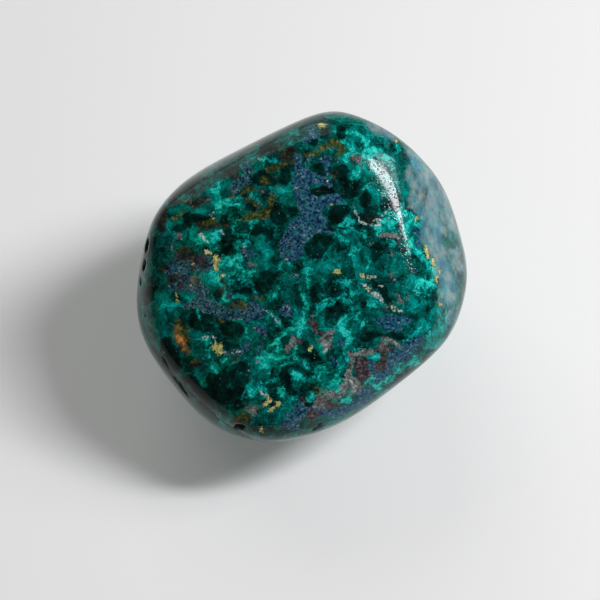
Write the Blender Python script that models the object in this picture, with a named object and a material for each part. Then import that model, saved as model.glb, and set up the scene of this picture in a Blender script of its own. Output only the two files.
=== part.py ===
"""A tumbled and polished pebble of dioptase grown through its matrix: one solid.

Metres, +Z up. The pebble stands on its flat underside at Z = 0, with its box over the origin.

Tumbling wears a broken lump down to a few nearly flat faces that roll into each other.
So the shape is a soft polyhedron: each face is a plane at its own distance from the core,
and a point is on the surface where the powers of its nearness to all of them add up to one.
"""

import math

import bmesh
import bpy
from mathutils import Matrix, Vector

MM = 0.001

# The faces are laid out round the broad face, which looks up and to the front. That face's
# normal is the axis of the layout, and the whole layout leans forward from the vertical.
LEAN_DEG = 30.0

# How firmly a face holds its own plane before it rolls into the next: higher is sharper.
FIRMNESS = 16.0

# (clock angle round the axis, tilt away from the axis, reach from the core in mm).
# Clock angle 0 points to +X and 90 up the broad face. Tilt 90 is the pebble's rim.
FACES = {
    "broad_face": (198, 2, 10.2),
    "ridge_bevel": (37, 20, 12.9),
    "right_flank": (13, 56, 13.7),
    "lower_right_shoulder": (-57, 44, 13.6),
    "top_shoulder": (86, 54, 15.8),
    "top_left_shoulder": (121, 67, 13.7),
    "left_shoulder": (181, 60, 15.4),
    "lower_left_shoulder": (227, 70, 15.3),
    "rim_right": (17, 100, 13.7),
    "rim_right_low": (-29, 104, 12.0),
    "rim_lower_right": (-52, 95, 11.6),
    "rim_bottom": (-80, 97, 12.5),
    "rim_bottom_left": (-112, 88, 15.1),
    "rim_lower_left": (-148, 98, 13.6),
    "rim_left": (175, 96, 13.5),
    "rim_left_high": (152, 104, 11.6),
    "rim_top_left": (115, 99, 11.3),
    "rim_top": (80, 104, 15.6),
    "rim_top_right": (59, 102, 12.8),
    "underside": (270, 150, 8.9),
    "underside_front": (262, 132, 10.2),
    "underside_left": (215, 150, 10.6),
    "back": (90, 178, 10.0),
    "back_upper": (75, 130, 11.4),
    "back_upper_left": (135, 126, 12.2),
    "back_left": (203, 125, 12.8),
    "back_right": (-18, 135, 11.6),
}

GRID_CUTS = 27  # cuts along each edge of the cube that the surface grid starts from
REST_FLAT_DEPTH = 0.15 * MM  # ground off the lowest point, so that the pebble rests on a true flat
SHARP_ANGLE_DEG = 30.0  # only the edge of the rest flat could be sharper than this

STONE_GREEN = (0.006, 0.105, 0.085, 1.0)
POLISH_ROUGHNESS = 0.12


def clear_scene():
    """Empty the scene of every object."""
    for obj in list(bpy.data.objects):
        bpy.data.objects.remove(obj, do_unlink=True)


def face_planes():
    """Each face as its outward unit normal and its reach from the core in metres."""
    lean = Matrix.Rotation(math.radians(LEAN_DEG), 3, "X")
    planes = []
    for clock_deg, tilt_deg, reach_mm in FACES.values():
        clock = math.radians(clock_deg)
        tilt = math.radians(tilt_deg)
        across = Vector((math.cos(clock), math.sin(clock), 0.0)) * math.sin(tilt)
        along = Vector((0.0, 0.0, math.cos(tilt)))
        planes.append((lean @ (across + along), reach_mm * MM))
    return planes


def surface_point(direction, planes):
    """The point of the soft polyhedron that lies in this direction from the core."""
    nearness = sum(
        (max(0.0, normal.dot(direction)) / reach) ** FIRMNESS
        for normal, reach in planes
    )
    return direction * nearness ** (-1.0 / FIRMNESS)


def rounded_lump():
    """A cube's surface grid, with every point moved out to the soft polyhedron."""
    grid = bmesh.new()
    bmesh.ops.create_cube(grid, size=2.0)
    bmesh.ops.subdivide_edges(grid, edges=grid.edges[:], cuts=GRID_CUTS, use_grid_fill=True)
    planes = face_planes()
    for vert in grid.verts:
        vert.co = surface_point(vert.co.normalized(), planes)
    return grid


def grind_rest_flat(lump):
    """Cut the underside off level, and close the cut with one flat face."""
    lowest = min(vert.co.z for vert in lump.verts)
    cut = bmesh.ops.bisect_plane(
        lump,
        geom=lump.verts[:] + lump.edges[:] + lump.faces[:],
        plane_co=(0.0, 0.0, lowest + REST_FLAT_DEPTH),
        plane_no=(0.0, 0.0, -1.0),
        clear_outer=True,
    )
    rim = [item for item in cut["geom_cut"] if isinstance(item, bmesh.types.BMEdge)]
    bmesh.ops.edgeloop_fill(lump, edges=rim)
    bmesh.ops.recalc_face_normals(lump, faces=lump.faces[:])


def stand_on_origin(lump):
    """Move the lump so that the middle of its box is over the origin and its flat is at Z = 0."""
    lows = [min(vert.co[axis] for vert in lump.verts) for axis in range(3)]
    highs = [max(vert.co[axis] for vert in lump.verts) for axis in range(3)]
    foot = Vector(((lows[0] + highs[0]) / 2, (lows[1] + highs[1]) / 2, lows[2]))
    bmesh.ops.translate(lump, verts=lump.verts[:], vec=-foot)


def polished_mineral():
    """The pebble's plain material: a deep green, highly polished."""
    material = bpy.data.materials.new("polished_mineral")
    material.use_nodes = True
    shader = material.node_tree.nodes["Principled BSDF"]
    shader.inputs["Base Color"].default_value = STONE_GREEN
    shader.inputs["Roughness"].default_value = POLISH_ROUGHNESS
    shader.inputs["Metallic"].default_value = 0.0
    return material


def build_stone(collection):
    """Make the pebble as one object in the collection."""
    lump = rounded_lump()
    grind_rest_flat(lump)
    stand_on_origin(lump)
    mesh = bpy.data.meshes.new("stone")
    lump.to_mesh(mesh)
    lump.free()
    mesh.shade_smooth()
    mesh.set_sharp_from_angle(angle=math.radians(SHARP_ANGLE_DEG))
    mesh.materials.append(polished_mineral())
    stone = bpy.data.objects.new("stone", mesh)
    collection.objects.link(stone)
    return stone


def main():
    """Build the pebble in a collection of its own."""
    clear_scene()
    collection = bpy.data.collections.new("dioptase_on_matrix")
    bpy.context.scene.collection.children.link(collection)
    build_stone(collection)


main()
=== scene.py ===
"""A tumbled, polished pebble of dioptase grown through its matrix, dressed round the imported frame.

Metres, +Z up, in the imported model's own frame. The pebble is one piece of rock, so it is one
mesh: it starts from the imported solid, gets its open pits and its wear, and carries a map of its
minerals on its points. The finish reads that map and grows each mineral's grain inside it.
"""

import logging
import math
from dataclasses import dataclass
from enum import Enum

import bpy
import numpy as np
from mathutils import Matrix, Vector, noise


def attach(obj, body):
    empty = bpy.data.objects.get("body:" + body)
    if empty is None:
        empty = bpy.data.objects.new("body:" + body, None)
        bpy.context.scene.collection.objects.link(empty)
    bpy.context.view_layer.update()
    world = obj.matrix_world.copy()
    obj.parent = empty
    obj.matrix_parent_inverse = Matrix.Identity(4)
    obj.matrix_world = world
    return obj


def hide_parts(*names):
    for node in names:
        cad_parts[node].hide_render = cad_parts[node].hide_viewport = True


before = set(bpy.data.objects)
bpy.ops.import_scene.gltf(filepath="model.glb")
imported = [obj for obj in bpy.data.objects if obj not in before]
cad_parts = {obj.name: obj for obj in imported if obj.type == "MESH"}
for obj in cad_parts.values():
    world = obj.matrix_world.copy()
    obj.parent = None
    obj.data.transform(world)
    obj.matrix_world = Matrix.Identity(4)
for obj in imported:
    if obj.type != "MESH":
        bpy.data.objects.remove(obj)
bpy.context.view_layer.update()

MM = 0.001

# The pebble is looked at square on to its broad face, which leans forward from the vertical.
CORE = Vector((-0.137, 1.903, 8.726)) * MM
LEAN = math.radians(30.0)
FACE_ACROSS = Vector((1.0, 0.0, 0.0))
FACE_UP = Vector((0.0, math.cos(LEAN), math.sin(LEAN)))
FACE_OUT = Vector((0.0, -math.sin(LEAN), math.cos(LEAN)))
EYE_REACH = 250.0 * MM
EYE_AIM = CORE - 0.085 * MM * FACE_ACROSS - 1.83 * MM * FACE_UP

# How far apart in the noise the edges and the tones of two minerals are read, for each letter
# by which their names differ in length.
EDGE_STRIDE = 7.3
TONE_STRIDE = 3.1

Chain = tuple[tuple[float, float, float], ...]
Socket = bpy.types.NodeSocket


class Mineral(Enum):
    """The minerals of the pebble, each named as the attribute that maps it."""

    TEAL = "teal"
    LACE = "lace"
    DARK = "dark"
    # milk: a milky skin; laid thick over the right flank it is also painted reflection, the pale
    # sheen of the bright room that the flank mirrors.
    MILK = "milk"
    BLUE = "blue"
    # stain: brown stains, and along the lower-left rim a dark brown band of painted shade.
    STAIN = "stain"
    OCHRE = "ochre"
    RUST = "rust"
    CRUST = "crust"
    CREAM = "cream"
    # amber: an orange inclusion whose bright core is a painted glint, the glow of light caught
    # inside it.
    AMBER = "amber"
    PALE = "pale"

    @property
    def edge_seed(self) -> float:
        """Where in the noise its ragged edge is read."""
        return EDGE_STRIDE * len(self.value) + ord(self.value[0])

    @property
    def tone_seed(self) -> float:
        """Where in the noise its clouds of tone are read."""
        return TONE_STRIDE * len(self.value) - ord(self.value[1])

    @property
    def draw_seed(self) -> int:
        """The seed of its chance seams on the hidden sides."""
        return sum(map(ord, self.value))


# Where each mineral shows on the broad face and round its edges. A chain is a run of spots,
# each (across, up, half width) in mm from the core as seen square on to the face.
SEAMS: dict[Mineral, tuple[Chain, ...]] = {
    Mineral.TEAL: (
        ((-11.0, 4.7, 0.6), (-10.8, 5.4, 0.6), (-10.2, 6.1, 0.4)),
        ((-8.1, 7.4, 0.35), (-7.5, 7.7, 0.5), (-6.8, 7.9, 0.4)),
        ((-9.2, 5.6, 0.35), (-8.5, 5.8, 0.4)),
        ((-1.6, 7.4, 0.4), (-1.2, 6.9, 0.5), (-1.0, 6.6, 0.3)),
        ((-10.9, -2.6, 0.5), (-10.8, -3.0, 0.4)),
        ((-10.1, -1.6, 0.35), (-9.6, -1.5, 0.35), (-9.1, -1.7, 0.3)),
        ((2.2, 1.2, 0.5), (3.2, 1.6, 0.6), (4.4, 1.6, 0.7), (5.2, 0.9, 0.5)),
        ((-3.3, 3.4, 0.4), (-3.0, 2.2, 0.3), (-3.0, 1.4, 0.4), (-3.6, 1.0, 0.3)),
        ((-0.6, 0.6, 0.5), (-1.2, -0.4, 0.5), (-1.0, -1.2, 0.6)),
        ((10.4, -3.6, 0.8), (10.8, -4.6, 1.0), (11.3, -5.2, 0.7), (10.6, -6.0, 0.5)),
        ((5.0, 11.8, 0.6), (5.9, 11.6, 0.6), (6.6, 11.0, 0.4)),
        ((-3.3, -6.9, 0.4), (-3.2, -7.7, 0.4), (-2.5, -7.2, 0.4), (-1.6, -7.1, 0.3)),
        ((-6.2, -10.9, 0.35), (-6.0, -11.5, 0.4)),
        ((7.9, 0.8, 0.5), (8.7, 1.6, 0.6), (7.9, 2.2, 0.4)),
        ((2.0, -8.4, 0.5), (2.2, -9.0, 0.4)),
        ((8.0, 7.2, 0.5), (8.6, 6.0, 0.4), (8.8, 5.2, 0.4)),
        ((-12.3, -2.2, 0.6), (-12.4, -3.4, 0.5), (-12.0, -4.6, 0.5)),
        ((5.6, 12.7, 0.2), (6.8, 12.0, 0.25), (7.6, 11.1, 0.25), (8.2, 10.0, 0.25),
         (8.4, 8.8, 0.25)),
        ((8.4, 8.8, 0.25), (8.45, 7.4, 0.25), (8.7, 6.0, 0.2)),
        ((9.5, -0.2, 0.5), (9.2, 0.8, 0.5), (10.1, 1.0, 0.3)),
        ((9.4, -2.2, 0.5), (10.4, -2.3, 0.5)),
    ),
    Mineral.LACE: (
        ((-6.8, 5.8, 0.3), (-6.6, 6.3, 0.35), (-5.9, 6.6, 0.45), (-5.4, 6.9, 0.35)),
        ((-7.6, 7.6, 0.25), (-7.2, 7.8, 0.2)),
        ((-3.2, 10.0, 0.2), (-2.7, 9.9, 0.2), (-2.1, 10.1, 0.2)),
        ((-4.1, 7.1, 0.25), (-3.8, 7.0, 0.15)),
        ((-0.65, 7.9, 0.15), (-0.62, 7.7, 0.12)),
        ((4.4, 12.3, 0.2), (3.9, 12.2, 0.28), (3.75, 11.8, 0.28), (4.1, 11.3, 0.28)),
        ((4.1, 11.3, 0.2), (4.6, 11.0, 0.35), (4.3, 10.6, 0.35), (3.9, 10.3, 0.3),
         (3.95, 9.95, 0.2)),
        ((4.9, 12.3, 0.15), (5.6, 12.0, 0.25), (5.6, 11.4, 0.25)),
        ((5.2, 10.6, 0.35), (5.7, 10.7, 0.4), (6.5, 10.7, 0.35), (7.1, 10.2, 0.4), (7.6, 9.4, 0.3)),
        ((5.2, 9.6, 0.3), (4.5, 9.2, 0.2), (4.5, 8.6, 0.25), (4.2, 8.2, 0.15)),
        ((5.15, 7.5, 0.15), (5.5, 7.8, 0.15), (6.0, 7.6, 0.15)),
        ((-5.9, 4.3, 0.18), (-5.4, 4.8, 0.16), (-5.1, 4.95, 0.14), (-4.7, 4.8, 0.12),
         (-4.3, 4.8, 0.12)),
        ((-4.0, 4.9, 0.16), (-4.1, 4.4, 0.14), (-4.2, 4.0, 0.1)),
        ((-5.7, 4.0, 0.16), (-5.3, 3.7, 0.2), (-4.7, 3.7, 0.12), (-4.5, 3.5, 0.1)),
        ((-8.8, 3.2, 0.25), (-8.3, 3.35, 0.25), (-7.6, 3.3, 0.32), (-7.0, 3.4, 0.3)),
        ((-7.0, 3.0, 0.2), (-7.4, 2.5, 0.2), (-7.1, 2.2, 0.1)),
        ((-7.0, 1.4, 0.3), (-6.5, 1.6, 0.35), (-5.9, 1.4, 0.5), (-5.4, 1.8, 0.45),
         (-5.3, 2.4, 0.3)),
        ((-5.5, 2.8, 0.25), (-5.1, 3.1, 0.2), (-4.7, 3.0, 0.15), (-4.3, 2.7, 0.12)),
        ((-5.4, 1.2, 0.3), (-4.8, 0.6, 0.35), (-4.3, 0.5, 0.3), (-4.9, 0.0, 0.2),
         (-4.5, -0.5, 0.22)),
        ((-4.5, -0.5, 0.2), (-4.1, -1.1, 0.16), (-3.8, -1.4, 0.1)),
        ((-7.5, 0.4, 0.25), (-7.25, 0.0, 0.3), (-7.2, -0.4, 0.25), (-6.9, -0.9, 0.18),
         (-6.7, -1.3, 0.2)),
        ((-6.0, -0.1, 0.22), (-6.3, -0.5, 0.16), (-5.5, 0.2, 0.16), (-5.0, -0.2, 0.2)),
        ((-6.6, -1.2, 0.16), (-6.2, -1.7, 0.12)),
        ((-5.8, -1.6, 0.14), (-5.2, -1.5, 0.18), (-4.8, -1.9, 0.14)),
        ((-8.65, -2.6, 0.14), (-8.5, -3.2, 0.12)),
        ((-4.9, -3.9, 0.1), (-4.7, -4.2, 0.12), (-4.6, -4.7, 0.14), (-4.4, -5.2, 0.12)),
        ((-1.7, 0.9, 0.12), (-1.7, 1.2, 0.12), (-1.0, 1.2, 0.12), (-0.5, 1.5, 0.08)),
        ((0.2, 0.7, 0.25), (0.6, 0.7, 0.3), (0.8, 0.3, 0.22)),
        ((0.7, -0.1, 0.2), (0.6, -0.6, 0.2), (0.5, -1.3, 0.2), (0.35, -1.9, 0.22),
         (0.3, -2.5, 0.22)),
        ((0.3, -2.5, 0.2), (0.1, -2.9, 0.2), (0.0, -3.5, 0.1), (0.1, -4.2, 0.3), (-0.3, -4.8, 0.2)),
        ((-1.9, -0.7, 0.18), (-2.0, -1.2, 0.22), (-2.3, -1.7, 0.22)),
        ((2.7, 4.0, 0.12), (3.1, 3.8, 0.2), (3.5, 3.3, 0.3)),
        ((3.4, 4.5, 0.25), (3.9, 5.0, 0.4), (4.4, 4.7, 0.35), (4.8, 4.8, 0.25)),
        ((3.0, 3.95, 0.1), (3.6, 4.1, 0.1), (4.6, 4.15, 0.1), (5.0, 4.0, 0.12)),
        ((5.0, 4.0, 0.12), (5.4, 3.6, 0.15), (5.8, 3.2, 0.12), (6.5, 2.75, 0.08)),
        ((4.3, 2.2, 0.2), (4.5, 2.5, 0.2), (5.0, 2.5, 0.08), (5.7, 2.8, 0.08)),
        ((6.5, 4.4, 0.3), (6.8, 4.0, 0.35), (6.6, 3.6, 0.25)),
        ((6.9, 4.8, 0.2), (7.4, 4.8, 0.25), (7.7, 4.4, 0.25), (8.1, 4.8, 0.25), (8.0, 5.4, 0.25)),
        ((7.2, 3.0, 0.25), (7.7, 2.7, 0.2), (8.1, 3.0, 0.22)),
        ((6.7, 5.4, 0.12), (7.3, 5.7, 0.2), (7.8, 5.7, 0.2)),
        ((8.7, 5.6, 0.25), (9.1, 5.3, 0.3), (9.1, 4.6, 0.25), (9.0, 3.8, 0.2), (9.2, 3.1, 0.25)),
        ((9.2, 3.1, 0.22), (9.6, 2.6, 0.2), (10.0, 2.0, 0.22), (10.4, 1.6, 0.22),
         (10.9, 1.1, 0.35)),
        ((8.8, 2.4, 0.1), (9.1, 2.6, 0.1), (9.3, 2.2, 0.1)),
        ((9.8, 5.0, 0.4), (10.1, 4.6, 0.35)),
        ((10.0, -0.2, 0.25), (10.4, -0.4, 0.35), (10.8, -0.4, 0.35), (11.1, -0.7, 0.2)),
        ((10.0, -0.6, 0.2), (10.0, -1.0, 0.12), (9.65, -1.45, 0.1), (10.2, -1.45, 0.1),
         (10.7, -1.3, 0.12)),
        ((10.7, -1.3, 0.1), (10.7, -0.8, 0.15)),
        ((10.7, 0.0, 0.12), (10.6, 0.5, 0.1)),
        ((10.9, 1.8, 0.25), (11.3, 1.0, 0.3), (11.4, 0.2, 0.3), (11.2, -0.8, 0.25)),
        ((2.6, -0.1, 0.1), (3.1, 0.0, 0.2), (3.6, -0.1, 0.2), (3.8, -0.6, 0.12)),
        ((3.6, -0.4, 0.12), (3.6, -1.0, 0.14), (3.7, -1.5, 0.22), (3.1, -1.6, 0.25),
         (2.6, -2.0, 0.22)),
        ((4.1, -0.4, 0.15), (4.4, -0.8, 0.16), (4.5, -1.5, 0.12)),
        ((2.6, -2.1, 0.2), (2.0, -2.3, 0.22), (1.5, -2.7, 0.3), (1.3, -3.2, 0.2)),
        ((2.1, -1.3, 0.1), (2.4, -1.6, 0.1)),
        ((3.7, -1.8, 0.2), (3.9, -2.2, 0.18), (4.4, -2.5, 0.14)),
        ((3.9, -3.1, 0.15), (3.5, -3.4, 0.2), (3.3, -3.9, 0.18), (3.6, -4.4, 0.2),
         (4.0, -4.7, 0.3)),
        ((4.0, -4.7, 0.3), (4.2, -5.2, 0.3), (4.1, -5.7, 0.3), (4.6, -5.8, 0.3)),
        ((4.0, -5.9, 0.18), (3.8, -6.4, 0.18), (3.9, -6.9, 0.2), (3.6, -7.5, 0.22),
         (3.2, -8.0, 0.2)),
        ((3.3, -8.5, 0.22), (3.0, -8.9, 0.28), (2.8, -9.3, 0.28), (2.5, -9.5, 0.2)),
        ((2.6, -8.1, 0.16), (1.9, -7.7, 0.2), (1.3, -7.9, 0.22), (1.1, -8.2, 0.2)),
        ((1.5, -8.3, 0.18), (1.4, -8.7, 0.2), (1.6, -9.1, 0.16)),
        ((0.2, -7.2, 0.2), (0.4, -7.6, 0.2), (0.8, -7.8, 0.16)),
        ((-0.8, -8.1, 0.12), (-0.2, -8.4, 0.2), (0.3, -8.6, 0.18), (0.6, -8.4, 0.08)),
        ((-1.6, -8.8, 0.14), (-1.6, -9.6, 0.18), (-1.4, -10.2, 0.18), (-0.7, -10.2, 0.14),
         (-0.2, -10.0, 0.1)),
        ((0.5, -10.4, 0.22), (0.9, -10.3, 0.22), (0.8, -9.8, 0.12)),
        ((-3.6, -6.7, 0.1), (-2.8, -6.6, 0.08), (-1.9, -6.8, 0.12), (-1.2, -6.7, 0.18)),
        ((-2.2, -7.9, 0.12), (-1.7, -7.4, 0.16), (-1.1, -7.3, 0.14), (-0.5, -6.9, 0.2)),
        ((-2.6, -8.5, 0.2), (-2.2, -8.3, 0.16), (-3.4, -8.9, 0.14)),
        ((-0.5, -6.3, 0.14), (-0.3, -6.0, 0.2)),
        ((-1.9, -5.3, 0.16), (-1.8, -5.9, 0.18), (-1.9, -6.4, 0.16)),
        ((-2.8, -5.9, 0.12), (-2.4, -5.6, 0.14), (-1.8, -5.0, 0.12)),
        ((-2.2, -3.2, 0.16), (-1.9, -4.1, 0.28), (-1.4, -4.6, 0.25), (-1.0, -4.3, 0.2)),
        ((-0.9, -3.5, 0.14), (-0.5, -4.1, 0.14)),
        ((-3.3, -9.2, 0.16), (-3.5, -9.6, 0.28), (-3.9, -9.8, 0.2), (-4.2, -10.2, 0.14)),
        ((-3.0, -9.5, 0.12), (-2.7, -9.4, 0.1), (-3.3, -10.0, 0.12)),
        ((-3.2, -7.7, 0.1), (-3.0, -7.5, 0.08)),
        ((-4.9, -9.3, 0.18), (-4.7, -9.7, 0.14), (-5.1, -9.8, 0.08)),
        ((-5.1, -10.3, 0.16), (-4.8, -10.6, 0.12), (-4.2, -9.5, 0.16)),
        ((-6.9, -7.2, 0.08), (-6.55, -7.35, 0.12), (-6.35, -7.1, 0.12), (-6.55, -6.9, 0.1)),
        ((-7.7, -7.5, 0.12), (-7.4, -7.7, 0.16), (-7.2, -8.1, 0.14), (-7.0, -7.8, 0.1)),
        ((-8.0, -6.3, 0.2), (-7.7, -6.5, 0.16), (-7.9, -5.2, 0.2)),
        ((8.4, -5.5, 0.3), (8.9, -5.2, 0.2), (9.5, -5.0, 0.22), (9.9, -4.6, 0.18),
         (10.2, -4.4, 0.14)),
        ((10.9, -4.0, 0.14), (10.9, -4.5, 0.12)),
        ((9.3, -7.2, 0.35), (9.8, -6.9, 0.35)),
        ((8.4, -7.4, 0.25), (8.2, -7.8, 0.25)),
        ((7.0, -8.8, 0.25), (7.6, -8.6, 0.3)),
        ((5.5, -8.8, 0.2), (5.9, -8.6, 0.2), (6.3, -8.4, 0.14)),
        ((6.4, -9.4, 0.25), (6.8, -9.2, 0.2)),
        ((3.7, -10.5, 0.25), (4.2, -10.3, 0.22)),
        ((4.6, -10.9, 0.18), (4.9, -10.8, 0.14)),
        ((6.3, -6.7, 0.1), (6.5, -6.5, 0.08)),
        ((5.3, -4.2, 0.16), (5.4, -3.6, 0.14)),
        ((5.6, -2.1, 0.16), (6.1, -2.1, 0.16), (6.6, -2.1, 0.12)),
        ((4.6, -3.3, 0.12), (5.0, -2.6, 0.12), (4.1, -2.0, 0.12)),
        ((5.8, 1.2, 0.1), (6.0, 0.9, 0.12), (5.6, 1.0, 0.08)),
        ((9.6, 9.9, 0.22), (9.8, 9.6, 0.2)),
        ((8.0, 11.3, 0.25), (8.4, 10.9, 0.2)),
        ((12.4, -3.0, 0.3), (12.5, -3.6, 0.25)),
        ((0.1, 1.7, 0.04), (0.5, 1.45, 0.05), (1.0, 1.4, 0.06), (1.4, 1.7, 0.04)),
        ((0.5, 2.6, 0.02), (1.0, 2.4, 0.03)),
    ),
    Mineral.DARK: (
        ((1.1, 7.4, 0.35), (1.7, 7.5, 0.52), (2.3, 7.35, 0.48), (2.9, 7.5, 0.3)),
        ((1.2, 9.7, 0.3), (1.5, 9.2, 0.4), (1.75, 8.9, 0.35)),
        ((2.3, 9.6, 0.2), (2.6, 9.2, 0.2)),
        ((-0.3, 7.85, 0.16),),
        ((-0.45, 8.25, 0.12),),
        ((1.4, 6.85, 0.16),),
        ((-2.4, 6.0, 0.5), (-1.8, 5.3, 0.8), (-1.0, 5.6, 0.6), (-0.6, 5.5, 0.3)),
        ((-1.4, 9.0, 0.45), (-1.2, 8.2, 0.35), (-1.6, 8.4, 0.3)),
        ((-3.4, 8.5, 0.5), (-2.6, 8.2, 0.4)),
        ((3.5, 5.7, 0.55), (2.8, 5.0, 0.5), (2.4, 5.6, 0.3), (3.9, 6.0, 0.3)),
        ((3.3, 9.3, 0.6), (3.6, 8.7, 0.5)),
        ((4.4, 7.7, 0.65), (4.0, 7.0, 0.45)),
        ((0.7, 2.5, 0.45), (1.3, 2.7, 0.75), (2.0, 3.0, 0.7), (1.2, 2.0, 0.45)),
        ((3.5, 2.7, 0.45), (3.9, 2.6, 0.35)),
        ((-4.0, 6.0, 0.3), (-4.6, 6.1, 0.3)),
        ((-5.0, 4.35, 0.3),),
        ((-3.9, 3.9, 0.35), (-3.4, 4.2, 0.4), (-2.6, 3.7, 0.4)),
        ((-4.5, -0.9, 0.3), (-5.0, -1.0, 0.35)),
        ((-3.9, -0.8, 0.35), (-3.2, -0.2, 0.5), (-2.5, 0.3, 0.4), (-3.4, -1.4, 0.3)),
        ((-0.4, -0.7, 0.3), (-0.2, -1.6, 0.3), (-0.2, -2.2, 0.2)),
        ((1.0, -1.2, 0.3), (1.3, -1.8, 0.3)),
        ((6.5, 2.4, 0.5), (6.1, 1.8, 0.4)),
        ((5.6, -0.3, 0.1), (6.2, -0.35, 0.14), (6.7, -0.5, 0.2), (6.9, -0.2, 0.2)),
        ((7.0, -0.8, 0.35), (7.2, -1.5, 0.4), (7.5, -2.1, 0.3), (6.9, -0.3, 0.25)),
        ((6.3, -0.75, 0.2), (6.6, -0.6, 0.16)),
        ((5.5, -5.1, 0.4), (6.5, -4.8, 0.35), (7.7, -4.9, 0.35), (8.4, -4.8, 0.3)),
        ((1.6, -3.0, 0.14), (2.2, -3.5, 0.14), (3.0, -3.9, 0.12)),
        ((0.0, -3.3, 0.14), (0.0, -3.0, 0.1)),
        ((-1.3, -5.2, 0.4), (-1.3, -5.7, 0.25)),
        ((0.5, -5.4, 0.3), (0.4, -5.9, 0.2)),
        ((0.9, -5.9, 0.12),),
        ((0.4, -6.5, 0.3), (1.0, -6.7, 0.35), (1.3, -6.3, 0.3), (1.5, -6.7, 0.2)),
        ((-1.5, -7.9, 0.35), (-1.2, -8.5, 0.4), (-1.0, -9.3, 0.4), (-0.6, -9.6, 0.3)),
        ((-0.6, -7.5, 0.25), (0.1, -7.8, 0.25), (0.5, -8.05, 0.2)),
        ((0.4, -9.3, 0.45), (1.0, -9.4, 0.3)),
        ((2.5, -6.2, 0.35), (2.8, -7.3, 0.3)),
        ((-2.6, -6.3, 0.3), (-2.0, -6.5, 0.16)),
        ((-3.5, -10.4, 0.3), (-2.4, -10.6, 0.3)),
        ((-6.6, -4.3, 0.5), (-5.6, -4.1, 0.4), (-5.2, -4.6, 0.4), (-5.8, -4.9, 0.4)),
        ((-7.9, -4.2, 0.4), (-8.9, -4.2, 0.4), (-9.2, -3.3, 0.35)),
        ((-7.2, -1.6, 0.35), (-7.1, -1.2, 0.2)),
        ((-10.9, -1.5, 0.35), (-10.0, -2.0, 0.25)),
        ((-7.6, -8.6, 0.6), (-6.6, -8.9, 0.6), (-7.9, -9.8, 0.5), (-6.2, -9.9, 0.5)),
        ((-5.6, -7.5, 0.4), (-6.2, -8.0, 0.4), (-5.2, -8.9, 0.3)),
        ((-8.4, -11.0, 0.5), (-7.4, -11.9, 0.4)),
        ((-9.4, -8.3, 0.4), (-8.8, -9.2, 0.4), (-8.0, -10.2, 0.3)),
        ((-5.2, -7.3, 0.4), (-4.6, -7.9, 0.35), (-4.7, -8.7, 0.35), (-5.6, -9.6, 0.35)),
        ((-4.5, -10.4, 0.25), (-5.3, -10.8, 0.3), (-6.9, -10.6, 0.35)),
        ((-11.5, -5.6, 0.6), (-10.8, -6.6, 0.5), (-10.4, -7.4, 0.4)),
        ((-10.5, 4.2, 0.4), (-9.6, 4.5, 0.45)),
        ((-11.0, 7.0, 0.5), (-10.0, 8.0, 0.5), (-9.2, 7.4, 0.4)),
        ((-9.6, 5.3, 0.35), (-7.9, 5.0, 0.3)),
        ((-3.4, 10.9, 0.25), (-2.6, 11.0, 0.25)),
        ((-6.4, 5.2, 0.3), (-6.6, 4.6, 0.3)),
        ((-6.0, 2.8, 0.3), (-6.4, 2.3, 0.3)),
        ((2.0, 12.6, 0.4), (1.6, 11.9, 0.2), (0.7, 11.4, 0.3)),
        ((3.4, 12.0, 0.3), (3.4, 12.6, 0.3)),
        ((5.2, 6.4, 0.4), (5.6, 6.9, 0.5), (5.5, 7.3, 0.3)),
    ),
    Mineral.BLUE: (
        ((-0.35, 10.4, 0.3), (-0.3, 9.7, 0.4), (-0.1, 9.0, 0.55), (0.0, 8.2, 0.6)),
        ((0.4, 9.2, 0.45), (0.7, 8.5, 0.55), (1.4, 8.25, 0.35), (1.9, 8.35, 0.3), (2.5, 8.0, 0.25)),
        ((0.0, 8.0, 0.6), (-0.1, 7.4, 0.6), (0.1, 6.9, 0.6), (0.4, 6.3, 0.75), (0.8, 5.8, 0.9)),
        ((0.2, 7.4, 0.5), (0.6, 6.7, 0.5), (1.4, 6.4, 0.65), (2.1, 6.6, 0.5), (2.8, 6.7, 0.45)),
        ((2.8, 6.7, 0.4), (3.3, 6.6, 0.25), (3.1, 7.1, 0.15)),
        ((1.0, 5.4, 1.0), (1.3, 4.8, 0.85), (0.5, 4.6, 1.0), (-0.3, 4.4, 0.75)),
        ((0.6, 4.6, 0.95), (0.0, 3.9, 0.95), (-0.6, 3.3, 0.95), (-1.1, 2.7, 0.85),
         (-1.2, 2.1, 0.7)),
        ((-0.4, 2.4, 0.55), (-0.8, 1.9, 0.45), (-1.5, 1.7, 0.35)),
        ((1.3, 4.3, 0.45), (1.9, 4.15, 0.3), (2.4, 3.9, 0.16), (2.7, 3.95, 0.1)),
        ((1.5, 10.2, 0.2), (1.9, 10.2, 0.25), (2.4, 10.0, 0.35), (2.7, 10.4, 0.2)),
        ((2.1, 9.9, 0.25), (2.1, 9.4, 0.22), (2.3, 8.9, 0.2)),
        ((0.9, 12.6, 0.4), (1.2, 12.0, 0.25), (0.5, 11.8, 0.25)),
        ((0.8, 10.3, 0.2), (0.5, 10.1, 0.15)),
        ((-4.75, 9.8, 0.3), (-4.4, 9.1, 0.4), (-4.6, 8.4, 0.4), (-5.3, 8.0, 0.4),
         (-5.8, 7.5, 0.35)),
        ((-5.8, 7.5, 0.3), (-6.0, 7.0, 0.2)),
        ((-2.4, 7.3, 0.2), (-2.6, 7.1, 0.14)),
        ((-4.8, 2.2, 0.35), (-4.2, 2.2, 0.3), (-4.5, 1.8, 0.2)),
        ((-0.6, 0.4, 0.2), (-0.2, 0.3, 0.14)),
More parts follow.
